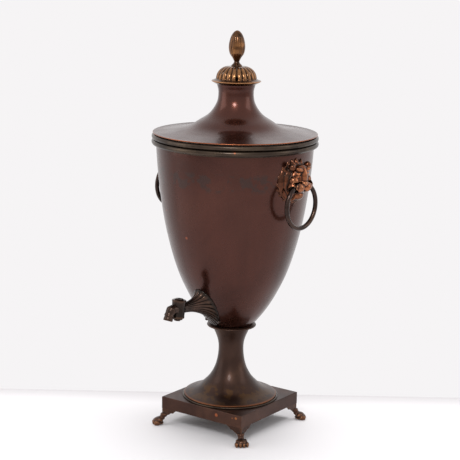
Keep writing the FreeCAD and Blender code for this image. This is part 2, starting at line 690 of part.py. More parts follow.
def mask():
    """The lion mask on the +X side: mane, face, muzzle, brows, ears and chin, cast hollow."""
    mane = ellipsoid((97.0, 0, MASK_Z), (15.5, MASK_HALF_WIDTH * 1.16, MASK_HALF_HEIGHT * 1.16))
    mane = mane.common(Part.Face(mane_outline()).extrude(Vector(80, 0, 0)))
    face = ellipsoid((102.0, 0, MASK_Z - 1), (14.5, 21.5, 25.5))
    muzzle = ellipsoid((110.5, 0, RING_PIVOT_Z), (14.4, 20.3, 13.0))
    bridge = ellipsoid((113.5, 0, RING_PIVOT_Z + 11), (9.4, 5.6, 13.5))
    chin = ellipsoid((104.5, 0, RING_PIVOT_Z - 16), (8.5, 10.5, 8.0))
    shapes = [mane, face, muzzle, bridge, chin]
    for side in (1, -1):
        shapes.append(ellipsoid((110.5, side * 9.8, MASK_Z + 13), (6.5, 8.2, 4.6)))
        shapes.append(ellipsoid((105.5, side * 20.5, MASK_Z + 21), (6.0, 5.4, 6.6)))
    front = fused(shapes)
    hollow = ellipsoid((98.0, 0, MASK_Z - 1), (14.0, 18.0, 22.0))
    reach = RING_PIVOT_X + RING_STOCK + 2.4
    sweep = mouth_hollow()
    middle = Part.makeBox(40, 32, 40, Vector(reach - 40, -16, RING_PIVOT_Z - RING_STOCK - 1.0))
    sides = Part.makeBox(60, 80, 60, Vector(80, -40, RING_PIVOT_Z - 30)).cut(
        Part.makeBox(62, 32, 62, Vector(79, -16, RING_PIVOT_Z - 31)))
    sweep = sweep.common(middle.fuse(sides))
    studs = [
        Part.makeCylinder(MASK_STUD_RADIUS, 11, Vector(radius_at(VASE_PROFILE, z) - 7, 0, z), X_AXIS)
        for z in MASK_STUD_Z
    ]
    casting = front.cut(hollow).cut(sweep).cut(vase_outside())
    casting = max(casting.Solids, key=lambda s: s.Volume)
    return casting.multiFuse(studs)


def mask_nuts():
    """The two nuts inside the vase that hold one mask."""
    nuts = []
    for z in MASK_STUD_Z:
        wall = radius_at(VASE_PROFILE, z, inward=VASE_WALL)
        nut = hexagon(6.0, 0, 2.6).cut(cylinder(MASK_STUD_RADIUS + FIT, -1, 4))
        nut.rotate(ORIGIN, Y_AXIS, -90)
        nut.translate(Vector(wall - 0.6, 0, z))
        nuts.append(nut.cut(vase_body_wall()))
    return Part.makeCompound(nuts)


_wall_cache = []


def vase_body_wall():
    """The plain wall of the vase, kept after its first use."""
    if not _wall_cache:
        _wall_cache.append(thin_shell(VASE_PROFILE[1:], VASE_WALL))
    return _wall_cache[0]


def ring_handle():
    return Part.makeTorus(RING_RADIUS, RING_STOCK, Vector(RING_PIVOT_X, 0, RING_CENTRE_Z), X_AXIS)


def other_side(shape):
    """The same piece on the -X side."""
    copy = shape.copy()
    copy.rotate(ORIGIN, Z_AXIS, 180)
    return copy


# Tap. It is built level with its barrel's axis on Z, pointing along -Y, and then placed.
def tap_placed(shape):
    shape.rotate(ORIGIN, X_AXIS, -TAP_TILT)
    shape.translate(Vector(0, -TAP_REACH, TAP_Z))
    return shape


def tap_bore():
    """The waterway through the vase's wall and the shank."""
    return Part.makeCylinder(WATERWAY_RADIUS, TAP_REACH - 25, Vector(0, 0, 0), Y_AXIS)


def cone(low_radius, high_radius, low, high):
    return Part.makeCone(low_radius, high_radius, high - low, Vector(0, 0, low))


def plug_taper(extra, low, high):
    """A cone on the plug's taper between two heights, larger all round by extra."""
    half = BARREL_HEIGHT / 2
    slope = (PLUG_TOP_RADIUS - PLUG_BOTTOM_RADIUS) / BARREL_HEIGHT

    def at(z):
        return PLUG_BOTTOM_RADIUS + slope * (z + half) + extra

    return cone(at(low), at(high), low, high)


def spout_path(start):
    """The waterway's middle line from the barrel out and down to the outlet."""
    corner_y = -SPOUT_REACH
    bend_start = Vector(0, corner_y + SPOUT_BEND, SPOUT_RISE)
    bend_end = Vector(0, corner_y, SPOUT_RISE - SPOUT_BEND)
    quarter = math.sqrt(0.5)
    bend_middle = Vector(0, corner_y + SPOUT_BEND * (1 - quarter), SPOUT_RISE - SPOUT_BEND * (1 - quarter))
    return [
        Part.makeLine(Vector(0, start, SPOUT_RISE), bend_start),
        Part.Arc(bend_start, bend_middle, bend_end).toShape(),
        Part.makeLine(bend_end, Vector(0, corner_y, -SPOUT_DROP)),
    ]


def swept(radius, start):
    """A round bar along the spout's middle line."""
    edges = spout_path(start)
    circle = Part.Wire(Part.makeCircle(radius, edges[0].Vertexes[0].Point, Y_AXIS))
    return Part.Wire(edges).makePipeShell([circle], True, False)


def tap_barrel():
    """The cock's body: a tapered barrel, its neck towards the shank and the spout, in one casting."""
    half = BARREL_HEIGHT / 2
    body = cone(BARREL_BOTTOM_RADIUS, BARREL_TOP_RADIUS, -half, half)
    top_rim = cylinder(BARREL_TOP_RADIUS + 0.7, half - 2.4, half)
    bottom_rim = cylinder(BARREL_BOTTOM_RADIUS + 0.8, -half, -half + 1.8)
    neck_end = TAP_REACH - SHANK_START
    neck = Part.makeCylinder(6.2, neck_end, ORIGIN, Y_AXIS)
    neck_ring = Part.makeTorus(6.3, 1.3, Vector(0, neck_end - 1.6, 0), Y_AXIS)
    elbow = Part.makeSphere(SPOUT_RADIUS + 1.3, Vector(0, -SPOUT_REACH + SPOUT_BEND * 0.55, SPOUT_RISE - 0.6))
    spout_ring = Part.makeTorus(SPOUT_RADIUS, 1.3, Vector(0, -SPOUT_REACH, SPOUT_RISE - SPOUT_BEND + 0.4), Z_AXIS)
    lip = Part.makeTorus(SPOUT_RADIUS - 0.5, 1.0, Vector(0, -SPOUT_REACH, -SPOUT_DROP + 1.0), Z_AXIS)
    solid = fused([body, top_rim, bottom_rim, neck, neck_ring, swept(SPOUT_RADIUS, -2.0), elbow, spout_ring, lip])
    solid = solid.cut(swept(WATERWAY_RADIUS, 0.0))
    solid = solid.cut(Part.makeCylinder(WATERWAY_RADIUS, neck_end + 1, ORIGIN, Y_AXIS))
    solid = solid.cut(plug_taper(PLUG_CLEARANCE, -half - 1, half + 1))
    return tap_placed(solid.removeSplitter())


def tap_plug():
    """The tapered plug, closed at rest, with a cross hole and a square socket for a loose key."""
    half = BARREL_HEIGHT / 2
    taper = plug_taper(0.0, -half - 0.5, half)
    crown = cylinder(PLUG_TOP_RADIUS - 0.5, half, half + 1.2)
    tail = cylinder(2.2, -half - 3.6, -half)
    plug = fused([taper, crown, tail])
    plug = plug.cut(Part.makeCylinder(WATERWAY_RADIUS - 0.4, 20, Vector(-10, 0, SPOUT_RISE * 0.5), X_AXIS))
    side = KEY_SOCKET
    socket = Part.makeBox(side, side, KEY_SOCKET_DEPTH + 2, Vector(-side / 2, -side / 2, half + 1.2 - KEY_SOCKET_DEPTH))
    return tap_placed(plug.cut(socket).removeSplitter())


def plug_washer():
    high = -BARREL_HEIGHT / 2 - RUNNING_GAP - 0.2
    return tap_placed(tube(BARREL_BOTTOM_RADIUS, 2.2 + FIT, high - 1.0, high))


def plug_nut():
    high = -BARREL_HEIGHT / 2 - RUNNING_GAP - 1.2
    nut = hexagon(7.5, high - 1.9, high)
    return tap_placed(nut.cut(cylinder(2.2 + FIT, high - 6, high + 1)))


def shank_sections():
    """Wavy outlines from the round neck to the leaf-shaped root, each leaning further with the vase."""
    rows = [
        # distance from the axis, half width, half height, lean in degrees
        (SHANK_START, 6.4, 6.4, -TAP_TILT),
        (82.0, 7.3, 7.6, -1.0),
        (69.0, 10.6, 13.2, 12.0),
        (58.0, 15.2, 21.5, 25.0),
        (47.0, 18.6, 28.0, 31.0),
    ]
    wires = []
    for y, wide, high, lean in rows:
        z = TAP_Z + (y - TAP_REACH) * math.tan(math.radians(TAP_TILT))
        up = Vector(0, -math.sin(math.radians(lean)), math.cos(math.radians(lean)))
        centre = Vector(0, -y, z)

        def place(turn, swell, wide=wide, high=high, up=up, centre=centre):
            return centre + X_AXIS * (wide * swell * math.cos(turn)) + up * (high * swell * math.sin(turn))

        wires.append(lobed_outline(SHANK_FLUTES, 0.10, 0.0, place))
    return wires


def flange_outline():
    """The leaf-shaped edge of the tap's flange, seen from the front."""
    half = [(0.0, 199.5), (9.5, 197.5), (15.6, 191.5), (17.8, 183.0), (16.6, 172.0), (14.2, 161.0), (13.4, 154.0),
            (9.0, 148.0)]
    points = [Vector(x, -120, z) for x, z in half] + [Vector(0, -120, 146.0)]
    points += [Vector(-x, -120, z) for x, z in reversed(half[1:])]
    curve = Part.BSplineCurve()
    curve.interpolate(points, PeriodicFlag=True)
    return Part.Wire(curve.toShape())


TAP_RIVETS = [(11.0, 153.5), (-11.0, 153.5), (13.4, 186.0), (-13.4, 186.0)]
TAP_RIVET_RADIUS = 2.0
TAP_RIVET_LEAN = 31.0  # the flange faces this much below level
TAP_RIVET_PROUD = 0.9


def rivet_bar(x, z, extra):
    """A rivet's bar square to the flange, from inside the wall to its rounded head."""
    lean = math.radians(TAP_RIVET_LEAN)
    out = Vector(0, -math.cos(lean), -math.sin(lean))
    on_wall = Vector(x, -math.sqrt(radius_at(VASE_PROFILE, z) ** 2 - x ** 2), z)
    length = 4.0 + TAP_FLANGE_THICK + TAP_RIVET_PROUD
    return Part.makeCylinder(TAP_RIVET_RADIUS + extra, length, on_wall - out * 4.0, out)


def tap_shank():
    """The fluted trumpet between barrel and vase, with its leaf-shaped flange bedded on the wall."""
    trumpet = Part.makeLoft(shank_sections(), True, False)
    plate = Part.Face(flange_outline()).extrude(Vector(0, 100, 0))
    plate = plate.common(vase_outside(grow=TAP_FLANGE_THICK))
    solid = trumpet.fuse(plate).cut(vase_outside())
    solid = max(solid.Solids, key=lambda s: s.Volume)
    solid = solid.cut(tap_placed(tap_bore()))
    return solid.cut(Part.makeCompound([rivet_bar(x, z, FIT) for x, z in TAP_RIVETS])).removeSplitter()


def tap_rivets():
    """Round-headed rivets through the flange, soldered to the vase's wall."""
    wall = vase_outside()
    rivets = []
    for x, z in TAP_RIVETS:
        bar = rivet_bar(x, z, 0.0)
        tip = min(bar.Edges, key=lambda e: e.CenterOfMass.y)
        rivets.append(bar.makeFillet(TAP_RIVET_PROUD * 0.9, [tip]).cut(wall))
    return Part.makeCompound(rivets)


def build():
    os.makedirs("parts", exist_ok=True)
    export("plinth", plinth())
    corner_foot = foot()
    for i, name in enumerate(("front_left", "front_right", "back_right", "back_left")):
        copy = corner_foot.copy()
        copy.rotate(ORIGIN, Z_AXIS, 90 * i)
        export(f"paw_foot_{name}", turned(copy))
    export("pedestal", pedestal())
    export("pedestal_flange", pedestal_flange())
    export("stem_collar", stem_collar())
    export("vase_stud", vase_stud())
    export("stud_washer", stud_washer())
    export("stud_nut", stud_nut())
    export("vase_body", vase_body())
    export("rim_bead_upper", rim_bead(BEAD_UPPER, BEAD_UPPER_Z))
    export("rim_bead_lower", rim_bead(BEAD_LOWER, BEAD_LOWER_Z))
    export("heater_socket", heater_socket())
    export("heater_tube", heater_tube())
    export("heater_cover", heater_cover())
    export("iron_slug", iron_slug())
    export("slug_eye", slug_eye())
    export("lid_cover", lid_cover())
    export("lid_bezel", lid_bezel())
    export("vent_dome", vent_dome())
    export("finial", finial())
    export("finial_nut", finial_nut())
    lion = mask()
    nuts = mask_nuts()
    ring = ring_handle()
    export("lion_mask_right", lion)
    export("lion_mask_left", other_side(lion))
    export("mask_nuts_right", nuts)
    export("mask_nuts_left", other_side(nuts))
    export("ring_handle_right", ring)
    export("ring_handle_left", other_side(ring))
    export("tap_shank", tap_shank())
    export("tap_rivets", tap_rivets())
    export("tap_barrel", tap_barrel())
    export("tap_plug", tap_plug())
    export("plug_washer", plug_washer())
    export("plug_nut", plug_nut())


build()
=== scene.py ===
import bpy
import bmesh
import json
import math

import numpy as np
from mathutils import Matrix, Vector


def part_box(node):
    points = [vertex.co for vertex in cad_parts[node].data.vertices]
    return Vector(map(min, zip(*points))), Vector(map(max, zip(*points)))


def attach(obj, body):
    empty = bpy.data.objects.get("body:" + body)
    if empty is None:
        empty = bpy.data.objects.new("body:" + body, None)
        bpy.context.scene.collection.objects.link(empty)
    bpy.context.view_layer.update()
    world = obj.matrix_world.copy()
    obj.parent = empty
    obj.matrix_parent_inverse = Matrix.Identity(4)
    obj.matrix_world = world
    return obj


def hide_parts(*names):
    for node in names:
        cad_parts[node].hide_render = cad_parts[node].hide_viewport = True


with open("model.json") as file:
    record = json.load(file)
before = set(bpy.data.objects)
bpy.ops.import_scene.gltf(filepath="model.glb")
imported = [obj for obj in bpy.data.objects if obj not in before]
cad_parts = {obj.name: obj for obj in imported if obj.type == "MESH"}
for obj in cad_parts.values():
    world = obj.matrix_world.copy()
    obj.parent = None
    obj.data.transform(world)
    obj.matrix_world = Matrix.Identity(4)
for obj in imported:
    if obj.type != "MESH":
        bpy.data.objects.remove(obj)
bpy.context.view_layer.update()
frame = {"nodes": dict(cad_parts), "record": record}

MM = 0.001
SAME_POINT = 0.0005 * MM  # points nearer than this are one

# A vase-shaped tea urn of patinated copper and brass on a square plinth with paw feet.
# +Z is up, the tap points along -Y, and the lion masks with their rings are on +X and -X.

# Sizes in millimetres, the same as in the CAD source
PLINTH_SIDE = 134.0
PLINTH_TOP_Z = 39.5
PLINTH_SKIRT = 16.5
PLINTH_TURN = 5.5
FOOT_WING = 26.0
FOOT_PLATE = 2.5
PAW_REACH = 13.5
PAW_WIDTH = 20.0
FLANGE_RADIUS = 65.6
FLANGE_THICK = 2.0
FLANGE_TOP_Z = PLINTH_TOP_Z + FLANGE_THICK
PEDESTAL_WALL = 1.3
PEDESTAL_TOP_RADIUS = 25.5
COLLAR_LOW_Z = 137.5
COLLAR_TOP_Z = 142.5
COLLAR_RADIUS = 33.6
VASE_WALL = 1.3
VASE_BASE_RADIUS = 29.0
BEAD_UPPER = 3.4
BEAD_UPPER_Z = 399.4
BEAD_LOWER = 3.6
BEAD_LOWER_Z = 392.15
LID_WALL = 1.2
NECK_TOP_RADIUS = 25.7
NECK_TOP_Z = 469.5
DOME_FLUTES = 22
DOME_BULGE = 16.5
DOME_RADIUS = 27.0
DOME_FLANGE_RADIUS = 32.9
DOME_FOOT_Z = 476.5
DOME_EYE = 9.0  # radius of the smooth eye round the finial's foot
VENT_AZIMUTH = 42.0
DOME_PHASE = math.radians(VENT_AZIMUTH - 90)  # a vent sits in a valley
VENT_RADIUS = 1.9
VENT_RISE = 2.6  # from the dome's foot up to a vent's centre
FINIAL_LOBES = 12
FINIAL_PHASE = math.radians(33.0 - 90)
MASK_Z = 353.0
MASK_HALF_WIDTH = 31.5
MASK_HALF_HEIGHT = 32.0
RING_PIVOT_X = 115.5
RING_PIVOT_Z = 344.4
TAP_TILT = 7.0
TAP_REACH = 106.6
TAP_Z = 182.0
DRUM_SINK = 7.0  # how far from the barrel's axis the shank starts, inside the barrel
SHANK_NECK = 6.4
TAP_FLANGE_THICK = 2.0
LEAF_HALF_WIDTH = 16.6
LEAF_HALF_HEIGHT = 26.5
LEAF_MIDDLE_Z = 172.8
LEAF_FLUTES = 18

# Profiles as radius and height, in millimetres
PEDESTAL_PROFILE = [(63.4, 43.3), (46.6, 50.0), (37.0, 58.0), (28.1, 68.0), (21.1, 82.0), (17.4, 100.0),
                    (18.1, 118.0), (25.5, 137.5)]
VASE_PROFILE = [(29.0, 142.5), (36.3, 150.0), (47.6, 165.0), (59.6, 185.0), (73.6, 215.0), (84.8, 250.0),
                (94.0, 290.0), (100.7, 335.0), (104.6, 375.0), (105.6, 402.5)]
LID_PROFILE = [(110.0, 404.1), (90.0, 406.5), (74.0, 409.3), (60.6, 413.5), (49.3, 420.5), (34.9, 430.5),
               (25.5, 445.0), (23.5, 459.0), (25.7, 469.5)]

# The bud's profile as radius and share of its height
BUD_PROFILE = [(3.9, 0.0), (6.0, 0.1), (9.2, 0.22), (10.7, 0.36), (10.9, 0.5), (10.1, 0.64), (8.5, 0.78),
               (6.2, 0.89), (3.6, 0.965), (1.4, 0.995), (0, 1.0)]

# The tap's barrel as radius and height along its own axis, from the key socket round the rims to the foot
BARREL_PROFILE = [(0, 10.4), (6.1, 10.4), (6.4, 10.8), (6.6, 11.9), (8.6, 12.1), (9.5, 11.5), (9.5, 9.9),
                  (9.2, 9.0), (9.1, 7.6), (8.7, -9.4), (8.9, -9.9), (8.9, -11.7), (8.3, -12.2), (0, -12.2)]
# The spout's middle line as distance out from the barrel's axis and height
SPOUT_LINE = [(4.0, -0.8), (9.6, -0.4), (13.0, -1.6), (15.4, -4.8), (16.9, -9.4), (18.2, -15.0)]
# The spout's radius by share of its length
SPOUT_RADII = [(0.0, 6.9), (0.3, 6.5), (0.42, 7.2), (0.52, 6.6), (0.66, 6.0), (0.76, 6.6), (0.82, 5.8),
               (0.93, 6.3), (1.0, 6.0)]
# The spout's mouth: radius and how deep it lies inside
SPOUT_MOUTH = [(3.7, 0.0), (3.5, 5.0), (0.01, 5.0)]

# A paw bracket's lower edge: cusps as distance from the corner and depth below the skirt
BRACKET_CUSPS = [(FOOT_WING, 0.0), (18.5, -5.0), (11.5, -8.0), (6.0, -12.5), (3.0, -13.5)]
BRACKET_BULGE = 1.1

# Rings of mane locks: how many, from and to what share of the mask, how far out, how thick, how curled
MANE_RINGS = [
    (19, 0.64, 0.99, 1.2, 3.5, 0.24),
    (15, 0.5, 0.8, 4.0, 3.3, -0.3),
    (11, 0.4, 0.6, 7.4, 2.9, 0.3),
]

# Camera, as measured from the photograph: where it stands, how it is turned, and its lens
CAMERA_AZIMUTH = 41.0
CAMERA_DISTANCE = 1894.9 * MM
CAMERA_HEIGHT = 672.8 * MM
CAMERA_PITCH = math.radians(11.95)
CAMERA_YAW = -0.0024
CAMERA_ROLL = math.radians(1.12)
CAMERA_LENS = 112.1
CAMERA_SENSOR = 36.0

# Stage
TABLE_EDGE = 122 * MM  # behind the vase's axis, where the table meets the backdrop
FLOOR_HALF = 14.0
BACKDROP = (246, 244, 245)
# The table top runs from the near colour to the far one: painted shade, darker towards where it meets the
# backdrop
TABLE_NEAR = (246, 244, 246)
TABLE_FAR = (214, 211, 213)
WORLD_COLOUR = (1, 0.985, 0.98, 1)
WORLD_STRENGTH = 0.48
LAMP_AIM = 0.25  # height of the point that the lamps look at, in metres
# Lamps: name, azimuth from the camera's, distance, height and size in metres, watts, shape, mirrored
LAMPS = [
    ("left_box", -84, 1.5, 0.75, (0.9, 1.5), 5.5, "RECTANGLE", True),
    ("right_box", 82, 1.5, 0.95, (0.7, 1.2), 4.0, "RECTANGLE", True),
    ("top_box", 165, 0.35, 2.0, (1.2, 1.2), 22, "RECTANGLE", False),
    ("near_lamp", -8, 1.8, 1.7, (0.6, 0.6), 19, "DISK", True),
]

# Surface noise of the metals, in cycles to a metre, and how deep it goes
STREAK_SCALE = 26
MOTTLE_SCALE = 150
SPECKLE_SCALE = 900
HAZE_SCALE = 40
GRAIN_SCALE = 420
DENT_SCALE = 16
BAND_SCALE = 75
SPOT_SCALE = 260
BAND_FADE = 5 * MM
GRAIN_DEPTH = 0.4 * MM
DENT_DEPTH = 3.0 * MM
DENT_STRENGTH = 0.25
COAT_ROUGHNESS = 0.12

# Tinted bands as lower and upper height and a colour: the faded ornament, and the stem's yellowed skirt
ORNAMENT_BAND = (338 * MM, 366 * MM, (46, 44, 42))
SKIRT_BAND = (41 * MM, 62 * MM, (92, 64, 34))


def linear(colour):
    """Scene-linear RGBA of an sRGB byte colour."""
    def channel(v):
        v = v / 255
        return v / 12.92 if v <= 0.04045 else ((v + 0.055) / 1.055) ** 2.4
    return tuple(channel(v) for v in colour) + (1.0,)


def around(azimuth, distance, height):
    """A point at an azimuth round the vase, measured from the tap's side towards +X."""
    a = math.radians(azimuth)
    return Vector((math.sin(a) * distance, -math.cos(a) * distance, height))


# Node helpers
class Nodes:
    """Builds a material's node tree with short calls."""

    def __init__(self, name):
        self.material = bpy.data.materials.new(name)
        self.material.use_nodes = True
        self.tree = self.material.node_tree
        self.shader = self.tree.nodes["Principled BSDF"]
        self.output = self.tree.nodes["Material Output"]
        self.place = self.add("ShaderNodeTexCoord").outputs["Object"]

    def add(self, kind, **inputs):
        node = self.tree.nodes.new(kind)
        for key, value in inputs.items():
            self.put(node.inputs[key.replace("_", " ")], value)
        return node

    def put(self, socket, value):
        if isinstance(value, bpy.types.NodeSocket):
            self.tree.links.new(value, socket)
        else:
            socket.default_value = value

    def noise(self, scale, detail, distortion=0.0, stretch=(1, 1, 1), roughness=0.55):
        """A noise value in the frame's metres, stretched where the axes' scales differ."""
        mapping = self.add("ShaderNodeMapping")
        self.put(mapping.inputs["Vector"], self.place)
        mapping.inputs["Scale"].default_value = stretch
        node = self.add("ShaderNodeTexNoise", Scale=scale, Detail=detail, Distortion=distortion,
                        Roughness=roughness)
        self.put(node.inputs["Vector"], mapping.outputs["Vector"])
        return node.outputs["Fac"]

    def ramp(self, value, stops):
        """A ramp. Each stop is a place and either a grey level or an sRGB byte colour."""
        node = self.add("ShaderNodeValToRGB")
        self.put(node.inputs["Fac"], value)
        ramp = node.color_ramp
        for i, (place, colour) in enumerate(stops):
            element = ramp.elements[i] if i < 2 else ramp.elements.new(place)
            element.position = place
            element.color = linear(colour) if isinstance(colour, tuple) else (colour, colour, colour, 1.0)
        return node.outputs["Color"]

    def mix(self, factor, a, b, blend="MIX"):
        node = self.add("ShaderNodeMix")
        node.data_type = "RGBA"
        node.blend_type = blend
        self.put(node.inputs["Factor"], factor)
        self.put(node.inputs["A"], linear(a) if isinstance(a, tuple) else a)
        self.put(node.inputs["B"], linear(b) if isinstance(b, tuple) else b)
        return node.outputs["Result"]

    def math(self, operation, a, b=0.0, clamp=False):
        node = self.add("ShaderNodeMath")
        node.operation = operation
        node.use_clamp = clamp
        self.put(node.inputs[0], a)
        self.put(node.inputs[1], b)
        return node.outputs[0]

    def attribute(self, name):
        node = self.add("ShaderNodeAttribute")
        node.attribute_name = name
        return node.outputs["Fac"]

    def near(self, centre, radius, ragged=0.3):
        """A ragged spot round a point, 1 in its middle and 0 outside."""
        offset = self.add("ShaderNodeVectorMath")
        offset.operation = "DISTANCE"
        self.put(offset.inputs[0], self.place)
        offset.inputs[1].default_value = centre
        wobble = self.math("MULTIPLY", self.noise(SPOT_SCALE, detail=6), radius * ragged * 4)
        distance = self.math("ADD", offset.outputs["Value"], wobble)
        distance = self.math("SUBTRACT", distance, radius * ragged * 2)
        return self.ramp(self.math("DIVIDE", distance, radius), [(0.75, 1.0), (1.0, 0.0)])

    def height_band(self, low, high, soft):
        """1 between two heights, fading to 0 outside them."""
        split = self.add("ShaderNodeSeparateXYZ")
        self.put(split.inputs[0], self.place)
        z = split.outputs["Z"]
        rise = self.math("DIVIDE", self.math("SUBTRACT", z, low), soft, clamp=True)
        fall = self.math("DIVIDE", self.math("SUBTRACT", high, z), soft, clamp=True)
        return self.math("MULTIPLY", rise, fall)

    def bump(self, height, strength, distance, below=None):
        node = self.add("ShaderNodeBump", Strength=strength, Distance=distance)
        self.put(node.inputs["Height"], height)
        if below is not None:
            self.put(node.inputs["Normal"], below)
        return node.outputs["Normal"]


def metal(name, base, deep, pale, *, rough, patch_scale, wear_and_highlight=None, metallic=0.9, coat=0.1, bump=0.12,
          spots=(), band=None, recess=0.0, mottle=0.55):
    """Aged metal: a base colour with deeper and paler patches, wiped streaks, pits and a hazy shine.

    Where recess isn't 0, the mesh's own marks darken its hollows and pale its ridges: patina and rubbed wear
    on most pieces, while on the dome they are painted shade in the flute valleys and vents and a painted
    highlight on the rib crests.
    """
    n = Nodes(name)
    patches = n.noise(patch_scale, detail=6, distortion=0.6)
    colour = n.ramp(patches, [(0.28, deep), (0.5, base), (0.74, pale)])
    streaks = n.noise(STREAK_SCALE, detail=5, stretch=(1, 1, 0.16))
    colour = n.mix(n.ramp(streaks, [(0.42, 0.0), (0.75, 0.45)]), colour, deep)
    mottling = n.noise(MOTTLE_SCALE, detail=8, roughness=0.7)
    colour = n.mix(n.ramp(mottling, [(0.52, 0.0), (0.74, mottle)]), colour, deep)
    speckle = n.noise(SPECKLE_SCALE, detail=3)
    colour = n.mix(n.ramp(speckle, [(0.66, 0.0), (0.78, 0.6)]), colour, deep)
    if band is not None:
        low, high, tint = band
        flakes = n.ramp(n.noise(BAND_SCALE, detail=5), [(0.5, 0.0), (0.56, 1.0)])
        where = n.math("MULTIPLY", n.height_band(low, high, BAND_FADE), flakes)
        colour = n.mix(n.math("MULTIPLY", where, 0.45), colour, tint)
    for centre, radius, tint in spots:
        colour = n.mix(n.near(centre, radius), colour, tint)
    if recess:
        # Hollows darker and ridges paler: patina and wear on most pieces, painted shade and a painted
        # highlight on the dome
        colour = n.mix(n.math("MULTIPLY", n.attribute("recess"), recess), colour, deep)
        colour = n.mix(n.attribute("proud"), colour, wear_and_highlight)
    n.put(n.shader.inputs["Base Color"], colour)
    n.shader.inputs["Metallic"].default_value = metallic
    haze = n.noise(HAZE_SCALE, detail=6, roughness=0.65)
    n.put(n.shader.inputs["Roughness"], n.ramp(haze, [(0.35, rough[0]), (0.7, rough[1])]))
    n.shader.inputs["Coat Weight"].default_value = coat
    n.shader.inputs["Coat Roughness"].default_value = COAT_ROUGHNESS
    normal = n.bump(n.noise(GRAIN_SCALE, detail=5), bump, GRAIN_DEPTH)
    normal = n.bump(n.noise(DENT_SCALE, detail=2), DENT_STRENGTH, DENT_DEPTH, below=normal)
    n.put(n.shader.inputs["Normal"], normal)
    return n.material


def build_materials():
    """Every finish, by the name of its slot in the record. Colours are sRGB bytes, judged one by one."""
    return {
        "copper_brown": metal(
            "patina_vase", (70, 36, 27), (54, 27, 19), (82, 47, 36), rough=(0.24, 0.34), patch_scale=7,
            mottle=0.25, band=ORNAMENT_BAND, coat=0.28,
            spots=[(around(-1.4, 90.6 * MM, 274 * MM), 2.2 * MM, (122, 64, 42)),
                   (around(-26, 96.8 * MM, 305 * MM), 1.8 * MM, (112, 58, 38))]),
        "lid_brown": metal(
            "patina_lid", (72, 37, 28), (56, 28, 20), (88, 50, 37), wear_and_highlight=(158, 88, 52), rough=(0.24, 0.34),
            patch_scale=9, mottle=0.25, coat=0.3, recess=0.85),
        "stem_brown": metal(
            "patina_stem", (60, 41, 33), (46, 31, 25), (80, 58, 45), wear_and_highlight=(128, 78, 48), rough=(0.34, 0.46),
            patch_scale=16, mottle=0.4, recess=0.85, band=SKIRT_BAND),
        "plinth_brown": metal(
            "patina_plinth", (64, 42, 34), (48, 31, 26), (86, 58, 45), rough=(0.34, 0.48),
            patch_scale=20, bump=0.2, mottle=0.4,
            spots=[(Vector((32, -64.2, 33)) * MM, 2.6 * MM, (146, 80, 50)),
                   (Vector((64, -61.1, 35)) * MM, 2.0 * MM, (150, 92, 52)),
                   (Vector((58, -61.7, 34)) * MM, 1.2 * MM, (130, 78, 48))]),
        "mask_brass": metal(
            "gilt_mask", (112, 58, 32), (42, 30, 24), (150, 82, 44), wear_and_highlight=(232, 158, 112), rough=(0.14, 0.24),
            patch_scale=60, bump=0.15, recess=0.95, mottle=0.5),
        "paw_brass": metal(
            "gilt_paw", (64, 42, 33), (34, 24, 20), (86, 58, 43), wear_and_highlight=(158, 108, 72), rough=(0.22, 0.36),
            patch_scale=50, bump=0.2, recess=0.9, mottle=0.5),
        # The dome's ridge colour is a painted highlight on its rib crests and the rubbed colour of its
        # flange's edge
        "dome_bronze": metal(
            "bronze_dome", (110, 74, 45), (36, 26, 20), (150, 102, 60), wear_and_highlight=(222, 162, 108),
            rough=(0.14, 0.24), patch_scale=70, recess=0.95, mottle=0.35),
        "bead_bronze": metal(
            "bronze_bead", (62, 51, 42), (44, 35, 29), (88, 74, 60), rough=(0.26, 0.4), patch_scale=30,
            mottle=0.4, spots=[(around(41, 109.5 * MM, 393.5 * MM), 2.4 * MM, (136, 78, 54))]),
        "ring_bronze": metal(
            "bronze_ring", (54, 38, 32), (34, 24, 20), (84, 62, 48), rough=(0.2, 0.32), patch_scale=40,
            mottle=0.3, coat=0.2),
        "tap_bronze": metal(
            "bronze_tap", (60, 43, 35), (32, 27, 23), (78, 57, 47), wear_and_highlight=(106, 78, 58), rough=(0.24, 0.38),
            patch_scale=60, bump=0.2, recess=0.85, mottle=0.5, coat=0.15),
        "inner_brass": metal(
            "plain_brass", (182, 148, 92), (120, 92, 54), (206, 176, 120), rough=(0.3, 0.46),
            patch_scale=50, coat=0.0),
        "tinned_copper": metal(
            "tinned_sheet", (158, 156, 150), (104, 100, 94), (190, 188, 182), rough=(0.34, 0.55),
            patch_scale=30, coat=0.0),
        "slug_iron": metal(
            "scaled_iron", (48, 43, 41), (24, 21, 20), (82, 66, 56), metallic=0.7, rough=(0.5, 0.75),
            patch_scale=60, bump=0.5, coat=0.0),
    }


# Shapes
def smooth_line(points, per_span=8):
    """Points along a smooth curve through the given radius and height pairs."""
    ends = [2 * Vector(points[0]) - Vector(points[1])] + [Vector(p) for p in points]
    ends.append(2 * Vector(points[-1]) - Vector(points[-2]))
    line = []
    for a, b, c, d in zip(ends, ends[1:], ends[2:], ends[3:]):
        for i in range(per_span):
            t = i / per_span
            line.append(0.5 * (2 * b + (c - a) * t + (2 * a - 5 * b + 4 * c - d) * t ** 2
                               + (3 * b - a - 3 * c + d) * t ** 3))
    line.append(Vector(points[-1]))
    return [(p.x, p.y) for p in line]


def moved_line(line, distance):
    """A line moved sideways, to the left as it is drawn."""
    moved = []
    for i, (radius, z) in enumerate(line):
        before = Vector(line[max(i - 1, 0)])
        after = Vector(line[min(i + 1, len(line) - 1)])
        along = (after - before).normalized()
        moved.append((radius - along.y * distance, z + along.x * distance))
    return moved


def arc_line(centre, radius, start, end, steps=10):
    """Points on an arc, by radius and height, between two angles in degrees."""
    line = []
    for i in range(steps + 1):
        a = math.radians(start + (end - start) * i / steps)
        line.append((centre[0] + radius * math.cos(a), centre[1] + radius * math.sin(a)))
    return line


